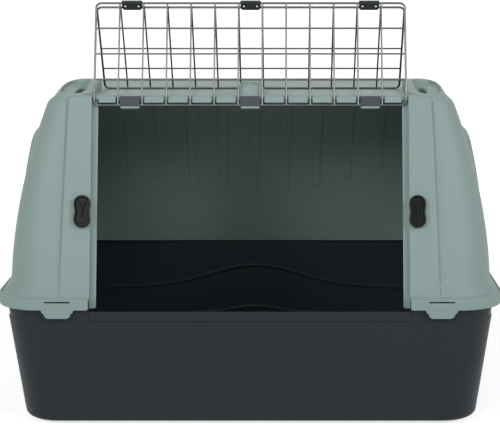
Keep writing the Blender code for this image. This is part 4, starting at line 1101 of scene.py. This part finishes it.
copies = wires.nodes.new("GeometryNodeInstanceOnPoints")
real = wires.nodes.new("GeometryNodeRealizeInstances")
paint = wires.nodes.new("GeometryNodeSetMaterial")
join = wires.links.new
join(given.outputs["Count"], row_points.inputs["Count"])
join(given.outputs["First"], row_points.inputs["Start Location"])
join(given.outputs["Step"], row_points.inputs["Offset"])
join(given.outputs["Run"], one_wire.inputs["End"])
join(given.outputs["Radius"], profile.inputs["Radius"])
join(one_wire.outputs["Curve"], sweep.inputs["Curve"])
join(profile.outputs["Curve"], sweep.inputs["Profile Curve"])
join(row_points.outputs["Mesh"], copies.inputs["Points"])
join(sweep.outputs["Mesh"], copies.inputs["Instance"])
join(copies.outputs["Instances"], real.inputs["Geometry"])
join(real.outputs["Geometry"], paint.inputs["Geometry"])
join(given.outputs["Finish"], paint.inputs["Material"])
join(paint.outputs["Geometry"], made_out.inputs["Geometry"])


def wire_rows(**values):
    """The tree's wires as a plain mesh."""
    carrier = add_piece("wire_rows", bpy.data.meshes.new("wire_rows"))
    grow = carrier.modifiers.new("wires", "NODES")
    grow.node_group = wires
    for item in wires.interface.items_tree:
        if item.in_out == "INPUT":
            grow[item.identifier] = values[item.name]
    settle(carrier)
    mesh = carrier.data
    bpy.data.objects.remove(carrier)
    return mesh


def frame_wire(half, y0, y1, radius, corner):
    """A closed loop of round wire with bent corners, in the panel's plane."""
    path = round_rect(-half, half, y0, y1, corner, 0, 8)
    count = len(path)
    sides = 12
    points = []
    for i, spot in enumerate(path):
        first = (spot - path[i - 1]).normalized()
        second = (path[(i + 1) % count] - spot).normalized()
        along = (first + second).normalized()
        out = Vector((along.y, -along.x, 0))
        for k in range(sides):
            turn = 2 * math.pi * k / sides
            up = Vector((0, 0, radius * math.sin(turn)))
            points.append(spot + out * (radius * math.cos(turn)) + up)
    faces = []
    for i in range(count):
        j = (i + 1) % count
        for k in range(sides):
            m = (k + 1) % sides
            faces.append((i * sides + k, i * sides + m, j * sides + m, j * sides + k))
    return mesh_from("frame_wire", points, faces)


# Painted shade: the wire's colour is darker than plated steel, standing in for the dark reflections it
# shows.
plated = metal("plated_wire", (0.115, 0.118, 0.121), 0.25, 60)
half_door = 0.312
frame_corner = 0.010
frame_radius = 0.00225
wire_radius = 0.00175
layer = 0.0027
rod = face @ Vector((0, 0, -rod_depth))
sill_tuck = 0.0104
upper_share = 0.503
open_lean = math.radians(20.4)
door_fall = (rod_height - sill) / math.cos(front_lean) + sill_tuck
upper_height = door_fall * upper_share
upper = tilted(open_lean, rod)
fold = upper @ Vector((0, upper_height, 0))
fold_gap = 0.010
lower_reach = door_fall - upper_height
lower_lean = math.pi - math.acos((fold.z - (tray + frame_radius + play)) / lower_reach)
lower = tilted(lower_lean, fold)
panels = (
    ("door_upper_panel", upper, 0.0, upper_height, "upper_door"),
    ("door_lower_panel", lower, fold_gap, lower_reach, "lower_door"),
)
for node_name, place, y0, y1, body in panels:
    loop = frame_wire(half_door, y0, y1, frame_radius, frame_corner)
    loop.materials.append(plated)
    past = frame_radius / 3
    uprights = wire_rows(
        Count=wire_count,
        First=(first_x, y0 - past, layer),
        Step=(wire_pitch, 0, 0),
        Run=(0, y1 - y0 + 2 * past, 0),
        Radius=wire_radius,
        Finish=plated,
    )
    rows = wire_rows(
        Count=3,
        First=(-half_door, y0 + (y1 - y0) / 4, 0),
        Step=(0, (y1 - y0) / 4, 0),
        Run=(2 * half_door, 0, 0),
        Radius=wire_radius,
        Finish=plated,
    )
    body_mesh = bmesh.new()
    for mesh in (loop, uprights, rows):
        body_mesh.from_mesh(mesh)
    whole = bpy.data.meshes.new(node_name + "_look")
    body_mesh.to_mesh(whole)
    body_mesh.free()
    whole.transform(place)
    whole.materials.append(plated)
    whole.shade_smooth()
    whole.set_sharp_from_angle(angle=math.radians(50))
    panel = add_piece(node_name + "_look", whole)
    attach(panel, body)
    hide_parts(node_name)


# Small parts that keep their solids, with rounded edges: black plastic fold clips, held round the
# door's wires by aluminium rivets, grey plastic hinge clips pressed into the roof beam, rubber feet
# pushed into the tray's underside, and steel washers that hold the latches from inside.
def dress(node_name, finish, width):
    """Joins the solid's points, rounds its edges and gives it a finish."""
    target = frame["nodes"][node_name]
    weld = target.modifiers.new("weld", "WELD")
    weld.merge_threshold = 0.00001
    round_off = target.modifiers.new("round", "BEVEL")
    round_off.width = width
    round_off.segments = 2
    round_off.limit_method = "ANGLE"
    round_off.angle_limit = math.radians(32)
    target.data.materials.clear()
    target.data.materials.append(finish)


black = plastic("black_plastic", (0.030, 0.036, 0.036), 0.40, 0.08, 0.0004)
clip_grey = plastic("clip_grey", (0.075, 0.087, 0.092), 0.42, 0.08, 0.0004)
rivet_metal = metal("rivet_aluminium", (0.78, 0.79, 0.80), 0.28, 200)
washer_steel = metal("washer_steel", (0.50, 0.51, 0.52), 0.32, 200)
rubber = plastic("black_rubber", (0.014, 0.014, 0.015), 0.75, 0.2, 0.0006)
for word in ("left", "centre", "right"):
    dress(f"fold_clip_front_{word}", black, 0.0006)
    dress(f"fold_clip_rear_{word}", black, 0.0006)
    dress(f"hinge_clip_{word}", clip_grey, 0.0005)
    dress(f"fold_rivet_{word}_1", rivet_metal, 0.0002)
    dress(f"fold_rivet_{word}_2", rivet_metal, 0.0002)
for word in ("left", "right"):
    dress(f"latch_washer_{word}", washer_steel, 0.0003)
    for end in ("front", "back"):
        dress(f"foot_{end}_{word}", rubber, 0.0006)


# Turn latches: black glossy plastic, each moulded in one piece with the spindle that turns in the
# front post. A waisted plate has a raised rim round a dish, a forked grip ridge and a boss.
latch_width = 0.0335
latch_pinch = 0.002


def waisted(inset, w):
    width = latch_width - inset
    end = latch_reach
    ring = []
    for i in range(72):
        turn = 2 * math.pi * i / 72
        y = (end + width / 2) * math.sin(turn)
        lobe = math.sqrt(max(0.0, (width / 2) ** 2 - max(0.0, abs(y) - end) ** 2))
        pinch = math.cos(min(1.0, abs(y) / end) * math.pi / 2) ** 2
        x = 0.0 if i in (18, 54) else lobe - latch_pinch * pinch
        ring.append((math.copysign(x, math.cos(turn)), end + y, w))
    return ring


def blade(start, end, low, high, half):
    """A tapered ridge with a rounded crest between two points of the dish."""
    along = (Vector(end) - Vector(start)).normalized()
    across = Vector((-along.y, along.x))
    crest_levels = (
        (low, half * 1.5),
        (high - 0.0012, half),
        (high - 0.0004, half * 0.8),
        (high, half * 0.4),
    )
    rings = []
    for w, reach in crest_levels:
        corners = ((start, -reach), (end, -reach), (end, reach), (start, reach))
        rings.append([(*(Vector(spot) + across * go), w) for spot, go in corners])
    return loft("blade", rings)


def disc(radius, levels):
    rings = []
    for w, inset in levels:
        turns = [2 * math.pi * k / 40 for k in range(40)]
        rings.append([((radius - inset) * math.cos(t), (radius - inset) * math.sin(t), w) for t in turns])
    return loft("disc", rings)


latch_black = plastic("latch_black", (0.013, 0.015, 0.016), 0.30, 0.05, 0.0005)
plate_levels = (
    (0.0015, 0.001),
    (0.0, 0.0018),
    (0.0, 0.0062),
    (0.0008, 0.0073),
    (0.0024, 0.0079),
    (0.0042, 0.008),
)
dish_levels = (
    (0.0110, 0.004),
    (0.0092, 0.0043),
    (0.0082, 0.0052),
    (0.0066, 0.0078),
    (0.0054, 0.0081),
    (0.0054, 0.010),
)
fork = 0.02175
ridge_low = 0.003
ridge_high = 0.011
stem_half = 0.0016
prong_half = 0.0015
prong_spread = 0.006
prong_length = 0.0125
boss = 0.008
boss_levels = ((ridge_low, 0), (0.0062, 0), (0.0068, 0.0004), (0.007, 0.0012))
spindle = 0.005
spindle_levels = ((-0.009, 0.0006), (-0.0084, 0), (0.0025, 0))
for side, word in ((-1, "left"), (1, "right")):
    plate = [waisted(inset, w) for inset, w in plate_levels]
    dish = [waisted(inset, w) for inset, w in dish_levels]
    ridges = [(blade((0, 0), (0, fork), ridge_low, ridge_high, stem_half), here)]
    for hand in (-1, 1):
        tip = (hand * prong_spread, fork + prong_length)
        ridges.append((blade((0, fork - 0.001), tip, ridge_low, ridge_high, prong_half), here))
    ridges.append((disc(boss, boss_levels), here))
    ridges.append((disc(spindle, spindle_levels), here))
    latch = add_piece(f"latch_{word}_look", loft("latch", plate))
    carve(latch, [(loft("dish", dish), here)], "DIFFERENCE")
    carve(latch, ridges, "UNION")
    latch.data.transform(face @ Matrix.Translation((side * latch_x, pivot_s, 0)))
    soften(latch)
    latch.data.materials.clear()
    latch.data.materials.append(latch_black)
    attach(latch, f"{word}_latch")
    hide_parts(f"latch_{word}")
